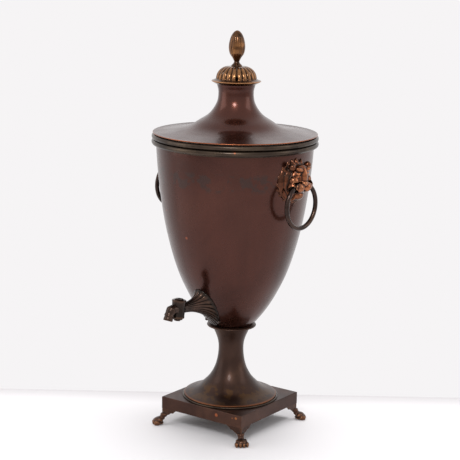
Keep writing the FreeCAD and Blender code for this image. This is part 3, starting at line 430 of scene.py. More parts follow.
def place_piece(mesh, name, finish, body, nodes=(), sharp=38):
    """Makes a mesh a piece: its finish, the body it rides on and the CAD nodes it stands for."""
    for polygon in mesh.polygons:
        polygon.use_smooth = True
    mesh.set_sharp_from_angle(angle=math.radians(sharp))
    mesh.materials.clear()
    mesh.materials.append(materials[finish])
    piece = bpy.data.objects.new(name, mesh)
    bpy.context.scene.collection.objects.link(piece)
    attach(piece, body)
    if nodes:
        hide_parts(*nodes)


def turns(count):
    """Angles evenly round a circle."""
    return [2 * math.pi * i / count for i in range(count)]


def grid_mesh(name, rows):
    """A mesh over rows of points in millimetres. Each row goes all the way round."""
    mesh = bpy.data.meshes.new(name)
    count = len(rows[0])
    points = [tuple(c * MM for c in p) for row in rows for p in row]
    faces = []
    for i in range(len(rows) - 1):
        a, b = i * count, (i + 1) * count
        for j in range(count):
            k = (j + 1) % count
            faces.append((a + j, a + k, b + k, b + j))
    mesh.from_pydata(points, [], faces)
    work = bmesh.new()
    work.from_mesh(mesh)
    bmesh.ops.remove_doubles(work, verts=work.verts, dist=SAME_POINT)
    bmesh.ops.dissolve_degenerate(work, edges=work.edges, dist=SAME_POINT)
    bmesh.ops.recalc_face_normals(work, faces=work.faces)
    work.to_mesh(mesh)
    work.free()
    return mesh


def turned_mesh(name, profile, segments=180, swell=None):
    """A turned shape. swell(angle, radius, z) scales the radius where the shape is fluted."""
    rows = []
    for radius, z in profile:
        row = []
        for a in turns(segments):
            r = radius * (swell(a, radius, z) if swell else 1.0)
            row.append((r * math.cos(a), r * math.sin(a), z))
        rows.append(row)
    return grid_mesh(name, rows)


def mark(mesh, name, rule):
    """Stores a number from 0 to 1 on each point of a mesh, for its material to read."""
    layer = mesh.attributes.new(name, "FLOAT", "POINT")
    for vertex, value in zip(mesh.vertices, layer.data):
        value.value = rule(vertex.co / MM)


def mark_relief(mesh, recess_gain, proud_gain, passes):
    """Marks hollows as recess and ridges as proud, from how the surface bends."""
    count = len(mesh.vertices)
    points = np.empty(count * 3)
    mesh.vertices.foreach_get("co", points)
    points = points.reshape(-1, 3)
    normals = np.empty(count * 3)
    mesh.vertices.foreach_get("normal", normals)
    normals = normals.reshape(-1, 3)
    edges = np.empty(len(mesh.edges) * 2, dtype=np.int64)
    mesh.edges.foreach_get("vertices", edges)
    a, b = edges.reshape(-1, 2).T

    def spread(values):
        total = np.zeros_like(values)
        np.add.at(total, a, values[b])
        np.add.at(total, b, values[a])
        return total / degree.reshape((-1,) + (1,) * (values.ndim - 1))

    degree = np.maximum(np.bincount(a, minlength=count) + np.bincount(b, minlength=count), 1).astype(float)
    even = points
    for _ in range(passes * 4):
        even = spread(even)
    bend = ((even - points) * normals).sum(axis=1) / MM
    for _ in range(passes):
        bend = 0.5 * bend + 0.5 * spread(bend)
    for name, values in (("recess", bend * recess_gain), ("proud", -bend * proud_gain)):
        layer = mesh.attributes.new(name, "FLOAT", "POINT")
        layer.data.foreach_set("value", np.clip(values, 0, 1).astype(np.float32))


def blob(work, centre, half_sizes, turn=None):
    """Adds an ellipsoid to a lump of clay. Millimetres."""
    matrix = Matrix.Translation(Vector(centre) * MM)
    if turn is not None:
        matrix = matrix @ turn.to_4x4()
    matrix = matrix @ Matrix.Diagonal((*[h * MM for h in half_sizes], 1.0))
    bmesh.ops.create_icosphere(work, subdivisions=3, radius=1.0, matrix=matrix)


def worm(work, path, start_size, end_size, steps=6):
    """Adds a tapering strand of clay along a smooth path of three points. Millimetres."""
    a, b, c = [Vector(p) for p in path]
    for i in range(steps + 1):
        t = i / steps
        at = a * (1 - t) ** 2 + 2 * b * t * (1 - t) + c * t ** 2
        size = start_size + (end_size - start_size) * t
        blob(work, at, (size, size, size))


def modelled(name, work, voxel, smoothing, cutters=()):
    """Melts the clay's lumps into one skin, smooths it and cuts the cutters away."""
    rough = bpy.data.meshes.new(name + "_clay")
    work.to_mesh(rough)
    work.free()
    lump = bpy.data.objects.new(name + "_clay", rough)
    bpy.context.scene.collection.objects.link(lump)
    remesh = lump.modifiers.new("skin", "REMESH")
    remesh.mode = "VOXEL"
    remesh.voxel_size = voxel * MM
    smooth = lump.modifiers.new("smooth", "SMOOTH")
    smooth.factor = 0.5
    smooth.iterations = smoothing
    for cutter in cutters:
        cut = lump.modifiers.new("cut", "BOOLEAN")
        cut.operation = "DIFFERENCE"
        cut.solver = "EXACT"
        cut.object = cutter
    depsgraph = bpy.context.evaluated_depsgraph_get()
    mesh = bpy.data.meshes.new_from_object(lump.evaluated_get(depsgraph))
    mesh.name = name
    for extra in (lump, *cutters):
        bpy.data.objects.remove(extra)
    return mesh


def turned_copy(mesh, name, degrees):
    """The same mesh turned about the vase's axis."""
    copy = mesh.copy()
    copy.name = name
    copy.transform(Matrix.Rotation(math.radians(degrees), 4, "Z"))
    return copy


def rib(angle, count, phase):
    """1 on the crest of a rounded rib and 0 in the sharp valley between ribs."""
    return abs(math.sin(count * (angle - phase) / 2)) ** 0.5


# Vase, lid and stand
def vase_radius(z):
    """The vase's outer radius at a height, from its profile."""
    for (r0, z0), (r1, z1) in zip(vase_line, vase_line[1:]):
        if z0 <= z <= z1:
            return r0 + (r1 - r0) * (z - z0) / (z1 - z0)
    return vase_line[0][0] if z < vase_line[0][1] else vase_line[-1][0]


def make_vase():
    """The sheet vase: its outer line up to the mouth, its inner line down to a flat floor."""
    inner = moved_line(vase_line, VASE_WALL)[2:]
    low = vase_line[0][1]
    high = low + VASE_WALL
    corner = inner[0][0] - 4
    outline = [(0, low)] + vase_line + list(reversed(inner)) + [(corner, high), (0, high)]
    mesh = turned_mesh("vase", outline)
    place_piece(mesh, "vase", "copper_brown", "urn", ["vase_body"])


def make_beads():
    """Two half-round mouldings under the mouth, and a thin step under the lower one."""
    for name, z, stock in (("rim_bead_upper", BEAD_UPPER_Z, BEAD_UPPER),
                           ("rim_bead_lower", BEAD_LOWER_Z, BEAD_LOWER)):
        wall = vase_radius(z)
        back = wall - 0.4
        outline = [(back, z + stock * 0.8)] + arc_line((wall + stock * 0.72, z), stock, 125, -125, 20)
        if name == "rim_bead_upper":
            outline += [(back, z - stock * 0.8)]
        else:
            outline += [(wall + 1.1, z - stock * 0.95), (wall + 1.0, z - stock * 1.3)]
            outline += [(back, z - stock * 1.45)]
        mesh = turned_mesh(name + "_moulding", outline)
        place_piece(mesh, name + "_moulding", "bead_bronze", "urn", [name])


def make_lid():
    """The lid's sheet with a rolled edge that is rubbed bare."""
    line = smooth_line(LID_PROFILE)
    inner = moved_line(line, LID_WALL)
    edge = arc_line((line[0][0] - 0.5, line[0][1] + 0.6), 0.6, -100, 80, 6)
    outline = edge + line[2:] + list(reversed(inner[1:]))
    mesh = turned_mesh("lid_sheet", outline + outline[:1])
    mark(mesh, "proud", lambda p: 1.0 if math.hypot(p.x, p.y) > line[0][0] - 0.2 else 0.0)
    place_piece(mesh, "lid_sheet", "lid_brown", "lid", ["lid_cover"])


def make_stem():
    """The trumpet-shaped stem, thin sheet with a turned-in lower edge that is rubbed pale."""
    line = smooth_line(PEDESTAL_PROFILE)
    inner = moved_line(line, PEDESTAL_WALL)
    radius, low = line[0]
    edge = [(radius - 1.2, FLANGE_TOP_Z), (radius, FLANGE_TOP_Z + 0.4), (radius + 0.2, low - 0.4)]
    mesh = turned_mesh("stem_sheet", edge + line + list(reversed(inner)) + edge[:1])
    mark(mesh, "proud", lambda p: 0.7 if p.z < low + 0.2 else 0.0)
    place_piece(mesh, "stem_sheet", "stem_brown", "urn", ["pedestal"])


def make_flange():
    """The flat ring with a rounded edge between the stem and the plinth."""
    hole = 50
    half = FLANGE_THICK / 2
    edge = half + 0.1
    outline = [(hole, FLANGE_TOP_Z), (FLANGE_RADIUS - 1.6, FLANGE_TOP_Z)]
    outline += arc_line((FLANGE_RADIUS - edge, FLANGE_TOP_Z - half), edge, 80, -80, 10)
    outline += [(hole, FLANGE_TOP_Z - 2 * half), (hole, FLANGE_TOP_Z)]
    mesh = turned_mesh("stem_flange", outline)
    place_piece(mesh, "stem_flange", "bead_bronze", "urn", ["pedestal_flange"])


def make_collar():
    """The turned ring between stem and vase."""
    low, high, edge = COLLAR_LOW_Z, COLLAR_TOP_Z, COLLAR_RADIUS
    hole = 13.2
    foot = PEDESTAL_TOP_RADIUS + 0.4
    outline = [(hole, low), (foot, low)]
    outline += smooth_line([(foot, low), (edge - 3.4, low + 0.7), (edge - 0.9, low + 1.5)], 4)
    outline += arc_line((edge - 1.3, low + 2.7), 1.3, -60, 80, 8)
    seat = VASE_BASE_RADIUS + 0.6
    outline += smooth_line([(edge - 1.8, low + 4.1), (edge - 3.0, high - 0.2), (seat, high)], 4)
    outline += [(hole, high), (hole, low)]
    mesh = turned_mesh("collar_ring", outline)
    place_piece(mesh, "collar_ring", "stem_brown", "urn", ["stem_collar"])


# Dome and finial
def vent_offset(angle, z):
    """How far a point of the dome is from the nearer vent's centre, as a share of the vent's radius."""
    shares = []
    for vent in (DOME_PHASE, DOME_PHASE + math.pi):
        turn = (angle - vent + math.pi) % (2 * math.pi) - math.pi
        shares.append(math.hypot(turn * DOME_RADIUS, z - DOME_FOOT_Z - VENT_RISE) / VENT_RADIUS)
    return min(shares)


def dome_swell(angle, radius, z):
    """The share of its radius that a point of the dome keeps: less in the valleys, least in a vent."""
    if z < DOME_FOOT_Z or radius < DOME_EYE:
        return 1.0
    fade = min(1.0, (z - DOME_FOOT_Z) / 1.5 + 0.3) * min(1.0, (radius - DOME_EYE) / 4)
    valley = 0.1 * fade * (1 - rib(angle, DOME_FLUTES, DOME_PHASE))
    pit = min(1.0, max(0.0, (1.15 - vent_offset(angle, z)) * 3))
    return 1.0 - valley - 0.16 * pit


def dome_painted_shade(p):
    """Where the dome is painted darker: painted shade in the vents, which are only shallow pits, and in the
    flute valleys, and darker on the flange's slope by the dome's foot and round the finial's foot.
    """
    radius, angle = math.hypot(p.x, p.y), math.atan2(p.y, p.x)
    if p.z < DOME_FOOT_Z - 0.5:
        return 0.75 if p.z > NECK_TOP_Z + 5.6 and radius < DOME_RADIUS + 2.5 else 0.0
    if vent_offset(angle, p.z) < 1.05:
        return 1.0
    if radius <= DOME_EYE - 1:
        return 0.3
    return max(0.0, 1 - 1.15 * rib(angle, DOME_FLUTES, DOME_PHASE) ** 2)


def dome_wear_and_highlight(p):
    """Where the dome is painted brighter: the flange's edge is rubbed bright, and the crests of the ribs
    carry a painted highlight.
    """
    if math.hypot(p.x, p.y) > DOME_FLANGE_RADIUS - 0.5:
        return 0.45
    if p.z <= DOME_FOOT_Z + 2:
        return 0.0
    return 0.35 * max(0.0, 1.4 * rib(math.atan2(p.y, p.x), DOME_FLUTES, DOME_PHASE) - 0.8)


def make_dome():
    """The fluted cap with its sharp-edged flange, and a vent at the foot of two flutes, a shallow pit
    darkened with painted shade.
    """
    low, edge = NECK_TOP_Z, DOME_FLANGE_RADIUS
    under = smooth_line([(NECK_TOP_RADIUS - 0.2, low), (27.8, low + 0.7), (edge - 0.3, low + 3.5)], 6)
    rim = [(edge, low + 3.9), (edge, low + 4.4)]
    over = [(edge - 0.4, low + 4.7), (30.0, low + 5.5), (DOME_RADIUS + 0.2, DOME_FOOT_Z - 0.2)]
    cap = arc_line((DOME_RADIUS - DOME_BULGE, DOME_FOOT_Z), DOME_BULGE, 4, 88, 34)
    outline = [(0, low)] + under + rim + smooth_line(over, 6) + cap + [(0, cap[-1][1])]
    mesh = turned_mesh("dome_cap", outline, segments=DOME_FLUTES * 24, swell=dome_swell)
    # Painted shade in the vents and the flute valleys
    mark(mesh, "recess", dome_painted_shade)
    # Painted highlight on the rib crests, and the flange's rubbed edge
    mark(mesh, "proud", dome_wear_and_highlight)
    place_piece(mesh, "dome_cap", "dome_bronze", "lid", ["vent_dome"], sharp=50)


def make_finial():
    """A closed bud with long lobes on a turned foot."""
    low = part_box("vent_dome")[1][2] / MM
    bud = low + 7.5
    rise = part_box("finial")[1][2] / MM - bud
    flare = [(7.0, low + 1.5), (5.6, low + 2.9), (4.2, low + 4.4), (3.5, low + 6.2), (3.9, bud)]
    foot = [(0, low), (7.1, low), (7.3, low + 0.8)] + smooth_line(flare, 4)
    body = smooth_line([(radius, bud + share * rise) for radius, share in BUD_PROFILE], 6)

    def lobed(angle, radius, z):
        up = (z - bud) / rise
        if up < 0.04:
            return 1.0
        fade = min(1.0, (up - 0.04) / 0.15) * min(1.0, (1 - up) / 0.12)
        return 1.0 - 0.06 * fade * (1 - rib(angle, FINIAL_LOBES, FINIAL_PHASE))

    # Darker in the valleys between the lobes and round the foot's narrow neck
    def darkening(p):
        if p.z < bud + 1:
            return 0.5 if math.hypot(p.x, p.y) < 4.5 else 0.1
        return 0.6 * max(0.0, 1 - rib(math.atan2(p.y, p.x), FINIAL_LOBES, FINIAL_PHASE) * 1.6)

    mesh = turned_mesh("bud", foot + body[1:], segments=FINIAL_LOBES * 24, swell=lobed)
    mark(mesh, "recess", darkening)
    place_piece(mesh, "bud", "dome_bronze", "lid", ["finial"], sharp=50)


# Paws and masks
def bracket_outline():
    """A bracket's outline as distance from the corner and height over the skirt's lower edge."""
    edge = []
    for (x0, z0), (x1, z1) in zip(BRACKET_CUSPS, BRACKET_CUSPS[1:]):
        for i in range(8):
            t = i / 8
            edge.append((x0 + (x1 - x0) * t, z0 + (z1 - z0) * t + math.sin(math.pi * t) * BRACKET_BULGE))
    edge += [BRACKET_CUSPS[-1], (0, BRACKET_CUSPS[-1][1])]
    return [(0, 1.0), (FOOT_WING, 1.0)] + edge


def scalloped_wings(work, corner, low):
    """Two brackets beside a foot: flat plates whose lower edges step down in scallops."""
    outline = bracket_outline()
    count = len(outline)
    for flip in (False, True):
        rings = []
        for depth in (0.0, FOOT_PLATE):
            ring = []
            for x, z in outline:
                a, b = corner + x, corner + depth + 0.1
                ring.append(work.verts.new(Vector((b, a, low + z) if flip else (a, b, low + z)) * MM))
            rings.append(ring)
        work.faces.new(rings[0])
        work.faces.new(list(reversed(rings[1])))
        for i in range(count):
            j = (i + 1) % count
            work.faces.new((rings[0][i], rings[1][i], rings[1][j], rings[0][j]))
    bmesh.ops.recalc_face_normals(work, faces=work.faces)


def shape_cutter(name, make, matrix, **options):
    """A solid that a modelled piece is cut by. Its size is in metres."""
    work = bmesh.new()
    make(work, matrix=matrix, **options)
    mesh = bpy.data.meshes.new(name)
    work.to_mesh(mesh)
    work.free()
    cutter = bpy.data.objects.new(name, mesh)
    bpy.context.scene.collection.objects.link(cutter)
    return cutter


def make_feet():
    """Four paws with knuckles and claws, each under its pair of scalloped brackets."""
    corner = -PLINTH_SIDE / 2
    low = PLINTH_TOP_Z - PLINTH_SKIRT
    work = bmesh.new()
    scalloped_wings(work, corner, low)
    turn = Matrix.Rotation(math.radians(225), 3, "Z")
    middle = Vector((corner, corner, 0))

    def lump(x, y, z, half):
        """A lump x out along the diagonal, y across it and z over the table."""
        blob(work, middle + turn @ Vector((x, y, z)), half, turn)

    for t, radius in ((0.0, 5.4), (0.25, 4.7), (0.5, 4.2), (0.75, 4.4), (1.0, 5.2)):
        lump(-3.4 + 4.4 * t, 0, low - 9.0 - 6.0 * t, (radius, radius, 2.4))
    lump(PAW_REACH - 8.6, 0, 5.0, (6.6, 7.4, 5.0))
    lump(PAW_REACH - 10.5, 0, 2.4, (5.4, 6.8, 2.4))
    for i in range(4):
        spread = (i - 1.5) / 1.5
        y = spread * (PAW_WIDTH / 2 - 3.1)
        back = 1.9 * spread ** 2
        lump(PAW_REACH - 4.6 - back, y, 3.4, (4.5, 2.75, 3.5))
        lump(PAW_REACH - 8.2 - back, y * 0.8, 6.6, (4.2, 2.2, 2.7))
        lump(PAW_REACH - 1.9 - back, y * 1.04, 2.2, (1.9, 1.5, 2.1))
    under_table = Matrix.Diagonal((3, 3, 1, 1)) @ Matrix.Translation((0, 0, -0.1))
    cutter = shape_cutter("floor_cut", bmesh.ops.create_cube, under_table, size=0.2)
    mesh = modelled("foot", work, 0.45, 3, [cutter])
    mark_relief(mesh, 6.0, 1.6, passes=3)
    for vertex, shine in zip(mesh.vertices, mesh.attributes["proud"].data):
        shine.value *= min(1.0, max(0.15, 1.6 - vertex.co.z / (9 * MM)))
    for i, place in enumerate(("front_left", "front_right", "back_right", "back_left")):
        name = "foot_" + place
        copy = turned_copy(mesh, name, 90 * i + PLINTH_TURN)
        place_piece(copy, name, "paw_brass", "urn", ["paw_" + name])


def mouth_cutters():
    """What is cut from a mask so that the ring can swing: a slot in the muzzle and a hole at each corner."""
    pivot = Vector((RING_PIVOT_X, 0, RING_PIVOT_Z))
    slot = Matrix.Translation((pivot + Vector((-2.9, 0, 3.0))) * MM)
    slot = slot @ Matrix.Diagonal((15.0 * MM, 36 * MM, 14.0 * MM, 1))
    cutters = [shape_cutter("slot", bmesh.ops.create_cube, slot, size=1.0)]
    for side in (1, -1):
        hole = Matrix.Translation((pivot + Vector((0.5, side * 20.0, -0.4))) * MM)
        hole = hole @ Matrix.Diagonal((6.4 * MM, 4.6 * MM, 5.6 * MM, 1))
        cutters.append(shape_cutter("hole", bmesh.ops.create_icosphere, hole, subdivisions=4, radius=1.0))
    return cutters


def wall_cutter():
    """The space inside the vase behind a mask, a hair smaller than the vase."""
    profile = [(0, 300), (vase_radius(300) - 0.05, 300)]
    profile += [(vase_radius(z) - 0.05, z) for z in range(305, 400, 5)] + [(0, 400)]
    cutter = bpy.data.objects.new("wall", turned_mesh("wall", profile, segments=240))
    bpy.context.scene.collection.objects.link(cutter)
    return cutter


def on_wall(y, z, out):
    """A point at a distance out from the vase's wall, across and up from the mask's middle."""
    reach = math.sqrt(max(vase_radius(MASK_Z + z) ** 2 - y ** 2, 0.0))
    return Vector((reach + out, y, MASK_Z + z))


def add_mane(work):
    """Rings of curled locks round the face."""
    for count, near, far, out, thick, swirl in MANE_RINGS:
        middle = 0.5 * (near + far)
        for k in range(count):
            angle = 2 * math.pi * (k + 0.5 + 0.22 * math.sin(5.0 * k)) / count + math.pi / 2
            path = []
            for share, bend, lift in ((near, 0.0, 1.0), (middle, swirl, 1.4), (far, 0.4 * swirl, -3.4)):
                wide = MASK_HALF_WIDTH * 0.94 * share * math.cos(angle + bend)
                tall = MASK_HALF_HEIGHT * 0.94 * share * math.sin(angle + bend)
                path.append(on_wall(wide, tall, out + lift))
            worm(work, path, thick, thick * 0.7)


def lump_on_wall(work, y, z, out, half, lean=0.0):
    """Adds a lump of clay to a mask, leaning about the axis that points out of the wall."""
    blob(work, on_wall(y, z, out), half, Matrix.Rotation(math.radians(lean), 3, "X"))


def add_skull(work):
    """The rounded ground of the mask, under the mane and the face."""
    lump_on_wall(work, 0, 0.5, -3.0, (9.5, 29.5, 30.0))
    lump_on_wall(work, 0, 1.0, 1.5, (9.5, 24.5, 25.5))
    lump_on_wall(work, 0, 2.0, 6.6, (10.4, 18.0, 19.5))


def add_face(work):
    """Forehead, ears, brows, eyes, cheeks, nose, muzzle and a tufted chin."""
    def lump(y, z, out, half, lean=0.0):
        lump_on_wall(work, y, z, out, half, lean)

    lump(0, 14.5, 9.0, (7.0, 12.0, 8.0))  # forehead
    for side in (1, -1):
        lump(side * 16.0, 20.0, 8.0, (5.0, 4.6, 5.0))  # ear
        lump(side * 7.8, 16.8, 13.4, (4.0, 6.8, 3.0), lean=side * 18)  # brow
        lump(side * 8.6, 11.4, 12.6, (3.2, 3.4, 2.3))  # eye
        lump(side * 8.8, 8.2, 12.4, (2.9, 5.0, 1.7), lean=side * -10)  # lower lid
        lump(side * 12.5, 2.0, 9.6, (7.0, 7.6, 7.4))  # cheek
        lump(side * 7.0, -6.6, 13.6, (8.4, 8.6, 7.4))  # muzzle
        lump(side * 14.0, -5.6, 10.4, (9.2, 8.4, 8.6))  # corner of the mouth
    lump(0, 7.5, 14.0, (6.0, 5.2, 12.5))  # bridge of the nose
    lump(0, -1.2, 17.8, (4.2, 5.4, 3.8))  # tip of the nose
    lump(0, -18.0, 8.0, (7.0, 9.4, 6.4))  # chin
    for spread in (-1.0, -0.5, 0.0, 0.5, 1.0):
        tip = on_wall(spread * 9, 3 * spread ** 2 - 28.5, 4)
        worm(work, [on_wall(spread * 6, -19, 9), on_wall(spread * 8, -23, 8), tip], 3.0, 1.8)


def make_masks():
    """A lion's mask that lies on the vase, with hollows for the ring, and its turned copy opposite."""
    work = bmesh.new()
    add_skull(work)
    add_mane(work)
    add_face(work)
    mesh = modelled("mask", work, 0.5, 9, mouth_cutters() + [wall_cutter()])
    mark_relief(mesh, 6.0, 1.7, passes=3)
    marks = zip(mesh.vertices, mesh.attributes["recess"].data, mesh.attributes["proud"].data)
    # Darker and duller towards the mask's edge, over the mane
    for vertex, darkening, shine in marks:
        across = vertex.co.y / MASK_HALF_WIDTH
        up = (vertex.co.z - MASK_Z * MM) / MASK_HALF_HEIGHT
        away = math.hypot(across, up) / MM - 0.45
        darkening.value = min(1.0, darkening.value + max(0.0, away) * 1.5)
        shine.value *= min(1.0, max(0.12, 1.0 - away * 2.6))
    place_piece(mesh, "mask_right", "mask_brass", "urn", ["lion_mask_right"])
    place_piece(turned_copy(mesh, "mask_left", 180), "mask_left", "mask_brass", "urn", ["lion_mask_left"])


# Tap
def leaf_edge(turn):
    """A point on the leaf-shaped outline of the tap's flange, as across and up from its middle."""
    across = math.cos(turn)
    up = math.sin(turn)
    half_width = LEAF_HALF_WIDTH * (1.0 + 0.16 * up)
    return half_width * across, LEAF_HALF_HEIGHT * up


def make_shank():
    """The fluted trumpet that fans out from the neck into a scallop-edged leaf lying on the vase."""
    neck_z = TAP_Z - DRUM_SINK * math.tan(math.radians(TAP_TILT))
    neck_y = DRUM_SINK - TAP_REACH
    steps = 40
    # The leaf's turned-over edge: how far it swells and how high it lies over the vase
    rims = [(1.0, TAP_FLANGE_THICK), (1.03, TAP_FLANGE_THICK * 0.6), (1.02, -0.4)]
    rows, darkening, shine = [], [], []
    for i in range(steps + len(rims)):
        share = min(i / steps, 1.0)
        swell, lift = rims[max(i - steps, 0)]
        row = []
        for turn in turns(LEAF_FLUTES * 16):
            crest = rib(turn, LEAF_FLUTES, 0.0)
            start = Vector((SHANK_NECK * math.cos(turn), neck_y, neck_z + SHANK_NECK * math.sin(turn)))
            across, up = [v * (1.0 + 0.035 * crest) * swell for v in leaf_edge(turn)]
            reach = math.sqrt(max(vase_radius(LEAF_MIDDLE_Z + up) ** 2 - across ** 2, 0.0))
            end = Vector((across, -reach - lift * 0.86, LEAF_MIDDLE_Z + up - lift * 0.5))
            far = 0.72 + 0.12 * math.sin(turn)
            bend_y = start.y + far * (end.y - start.y)
            bend = Vector((start.x * 1.12, bend_y, start.z + (start.z - neck_z) * 0.1))
            point = start * (1 - share) ** 2 + bend * 2 * share * (1 - share) + end * share ** 2
            outward = Vector((point.x, 0, point.z - neck_z)).normalized()
            depth = (0.3 + 0.9 * share) * (1 - crest) * min(1.0, i / 4) if i < steps else 0.0
            row.append(point - outward * depth)
            # Darker in the flute valleys and towards the leaf's turned-over edge, a little paler on the
            # crests
            rim = max(0.0, (share - 0.86) / 0.14)
            darkening.append(min(1.0, 0.9 * (1 - crest) + 0.8 * rim))
            shine.append(0.25 * max(0.0, crest - 0.7) / 0.3 * (1 - rim) * share)
        rows.append(row)
    mesh = grid_mesh("shank_leaf", rows)
    for name, values in (("recess", darkening), ("proud", shine)):
        mesh.attributes.new(name, "FLOAT", "POINT").data.foreach_set("value", values)
    place_piece(mesh, "shank_leaf", "tap_bronze", "urn", ["tap_shank"], sharp=60)


def tap_point(out, up, across=0.0):
    """A point in the tap's own frame: out from the barrel's axis, up along it, and across."""
    tilt = math.radians(TAP_TILT)
    return Vector((across, -TAP_REACH - out * math.cos(tilt) + up * math.sin(tilt),
                   TAP_Z + out * math.sin(tilt) + up * math.cos(tilt)))


def make_barrel():
    """The barrel with its rims and the well over its plug."""
    rows = []
    for radius, up in BARREL_PROFILE:
        rows.append([tap_point(radius * math.cos(a), up, radius * math.sin(a)) for a in turns(72)])
    mesh = grid_mesh("tap_drum", rows)
    mark_relief(mesh, 1.2, 0.35, passes=1)
    place_piece(mesh, "tap_drum", "tap_bronze", "urn", ["tap_barrel"])


def make_spout():
    """The short thick spout with rings that turns down from the barrel, and its hollow mouth."""
    line = smooth_line(SPOUT_LINE, 10)
    radii = smooth_line(SPOUT_RADII, 10)

    def ring(out, up, along, radius, deeper=0.0):
        """Points round a place on the middle line, square to the direction along it."""
        return [tap_point(out - along.y * radius * math.cos(a) - along.x * deeper,
                          up + along.x * radius * math.cos(a) - along.y * deeper,
                          radius * math.sin(a)) for a in turns(48)]

    rows = []
    for i, (out, up) in enumerate(line):
        share = i / (len(line) - 1)
        radius = next(value for place, value in radii[1:] if place >= share - 1e-6)
        before, after = line[max(i - 1, 0)], line[min(i + 1, len(line) - 1)]
        along = Vector((after[0] - before[0], after[1] - before[1])).normalized()
        rows.append(ring(out, up, along, radius))
    for radius, deeper in SPOUT_MOUTH:
        rows.append(ring(*line[-1], along, radius, deeper))
    mesh = grid_mesh("tap_spout", rows)
    mark_relief(mesh, 1.2, 0.35, passes=1)
    place_piece(mesh, "tap_spout", "tap_bronze", "urn")


# Camera, light and stage
def make_camera():
    """The camera that sees the vase as the photograph does: turned, pitched and rolled as measured."""
    azimuth = math.radians(CAMERA_AZIMUTH)
    forward = Vector((-math.sin(azimuth), math.cos(azimuth), 0))
    right = Vector((math.cos(azimuth), math.sin(azimuth), 0))
    up = Vector((0, 0, 1))
    level = forward * math.cos(CAMERA_YAW) + right * math.sin(CAMERA_YAW)
    side = right * math.cos(CAMERA_YAW) - forward * math.sin(CAMERA_YAW)
    look = level * math.cos(CAMERA_PITCH) - up * math.sin(CAMERA_PITCH)
    head = up * math.cos(CAMERA_PITCH) + level * math.sin(CAMERA_PITCH)
    x_axis = side * math.cos(CAMERA_ROLL) + head * math.sin(CAMERA_ROLL)
    y_axis = head * math.cos(CAMERA_ROLL) - side * math.sin(CAMERA_ROLL)
    data = bpy.data.cameras.new("camera")
    data.lens = CAMERA_LENS
    data.sensor_width = CAMERA_SENSOR
    data.clip_start = 0.05
    camera = bpy.data.objects.new("camera", data)
    bpy.context.scene.collection.objects.link(camera)
    turn = Matrix((x_axis, y_axis, -look)).transposed().to_4x4()
    camera.matrix_world = Matrix.Translation(around(CAMERA_AZIMUTH, CAMERA_DISTANCE, CAMERA_HEIGHT)) @ turn
    bpy.context.scene.camera = camera


def softbox(name, azimuth, distance, height, size, power, shape, mirrored):
    """A large soft lamp that looks at the vase from a place round it."""
    data = bpy.data.lights.new(name, "AREA")
    data.shape = shape
    data.size, data.size_y = size
    data.energy = power
    lamp = bpy.data.objects.new(name, data)
    bpy.context.scene.collection.objects.link(lamp)
    lamp.location = around(azimuth, distance, height)
    direction = Vector((0, 0, LAMP_AIM)) - lamp.location
    lamp.rotation_euler = direction.to_track_quat("-Z", "Y").to_euler()
    lamp.visible_glossy = mirrored


def seen_rays(tree):
    """1 for rays that see the backdrop straight, in a reflection or through something clear."""
    path = tree.nodes.new("ShaderNodeLightPath")
    value = path.outputs["Is Camera Ray"]
    for other in ("Is Glossy Ray", "Is Transmission Ray"):
        total = tree.nodes.new("ShaderNodeMath")
        total.operation = "ADD"
        total.use_clamp = True
        tree.links.new(value, total.inputs[0])
        tree.links.new(path.outputs[other], total.inputs[1])
        value = total.outputs[0]
    return value


def make_lights():
    for name, turn, *rest in LAMPS:
        softbox(name, CAMERA_AZIMUTH + turn, *rest)


def make_world():
    """Even white surroundings: dim as light, as bright as the backdrop where seen or mirrored."""
    world = bpy.data.worlds.new("studio")
    bpy.context.scene.world = world
    world.use_nodes = True
    tree = world.node_tree
    background = tree.nodes["Background"]
    output = tree.nodes["World Output"]
    background.inputs["Color"].default_value = WORLD_COLOUR
    background.inputs["Strength"].default_value = WORLD_STRENGTH
    seen = tree.nodes.new("ShaderNodeBackground")
    seen.inputs["Color"].default_value = linear(BACKDROP)
    mix = tree.nodes.new("ShaderNodeMixShader")
    tree.links.new(seen_rays(tree), mix.inputs[0])
    tree.links.new(background.outputs[0], mix.inputs[1])
    tree.links.new(seen.outputs[0], mix.inputs[2])
    tree.links.new(mix.outputs[0], output.inputs[0])


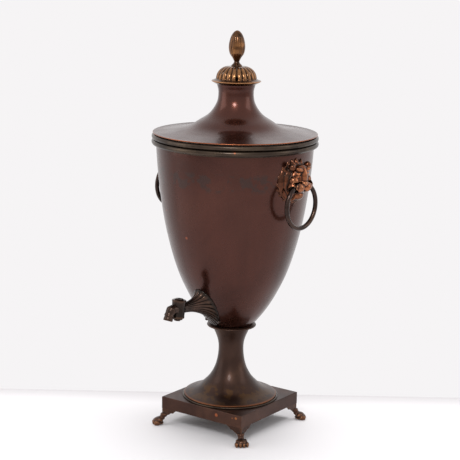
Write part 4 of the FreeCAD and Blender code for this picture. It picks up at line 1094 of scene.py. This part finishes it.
def make_floor():
    """A pale table top, with painted shade darkening it towards its far edge. Past its far edge the same
    sheet carries on as the backdrop, which has no shading.
    """
    mesh = bpy.data.meshes.new("floor")
    h = FLOOR_HALF
    mesh.from_pydata([(-h, -h, 0), (h, -h, 0), (h, h, 0), (-h, h, 0)], [], [(0, 1, 2, 3)])
    floor = bpy.data.objects.new("floor", mesh)
    bpy.context.scene.collection.objects.link(floor)
    n = Nodes("pale_table")
    away = n.add("ShaderNodeVectorMath")
    away.operation = "DOT_PRODUCT"
    n.put(away.inputs[0], n.place)
    away.inputs[1].default_value = around(CAMERA_AZIMUTH, -1, 0)
    past_edge = n.math("SUBTRACT", away.outputs["Value"], TABLE_EDGE)
    depth = n.math("ADD", n.math("MULTIPLY", past_edge, 2.0), 0.9)
    # Painted shade: the table top darkens towards its far edge
    shade = n.ramp(depth, [(0.2, TABLE_NEAR), (0.8, TABLE_NEAR), (0.9, TABLE_FAR)])
    n.put(n.shader.inputs["Base Color"], shade)
    n.shader.inputs["Roughness"].default_value = 0.6
    n.shader.inputs["Specular IOR Level"].default_value = 0.2
    glow = n.add("ShaderNodeEmission", Color=linear(BACKDROP), Strength=1.0)
    backdrop = n.math("MULTIPLY", n.math("GREATER_THAN", past_edge, 0.0), seen_rays(n.tree))
    mix = n.add("ShaderNodeMixShader")
    n.put(mix.inputs[0], backdrop)
    n.put(mix.inputs[1], n.shader.outputs[0])
    n.put(mix.inputs[2], glow.outputs[0])
    n.put(n.output.inputs["Surface"], mix.outputs[0])
    mesh.materials.append(n.material)


def dress_frame(materials):
    """Gives every CAD node the finish that its slot in the record names."""
    for part in frame["record"]["subparts"]:
        node = frame["nodes"][part["node"]]
        node.data.materials.clear()
        node.data.materials.append(materials[part["material_slot"]])
        for polygon in node.data.polygons:
            polygon.use_smooth = True


bpy.context.scene.view_settings.view_transform = "Standard"
vase_line = smooth_line(VASE_PROFILE)
materials = build_materials()
dress_frame(materials)
make_vase()
make_beads()
make_lid()
make_stem()
make_flange()
make_collar()
make_dome()
make_finial()
make_feet()
make_masks()
make_shank()
make_barrel()
make_spout()
make_camera()
make_lights()
make_world()
make_floor()
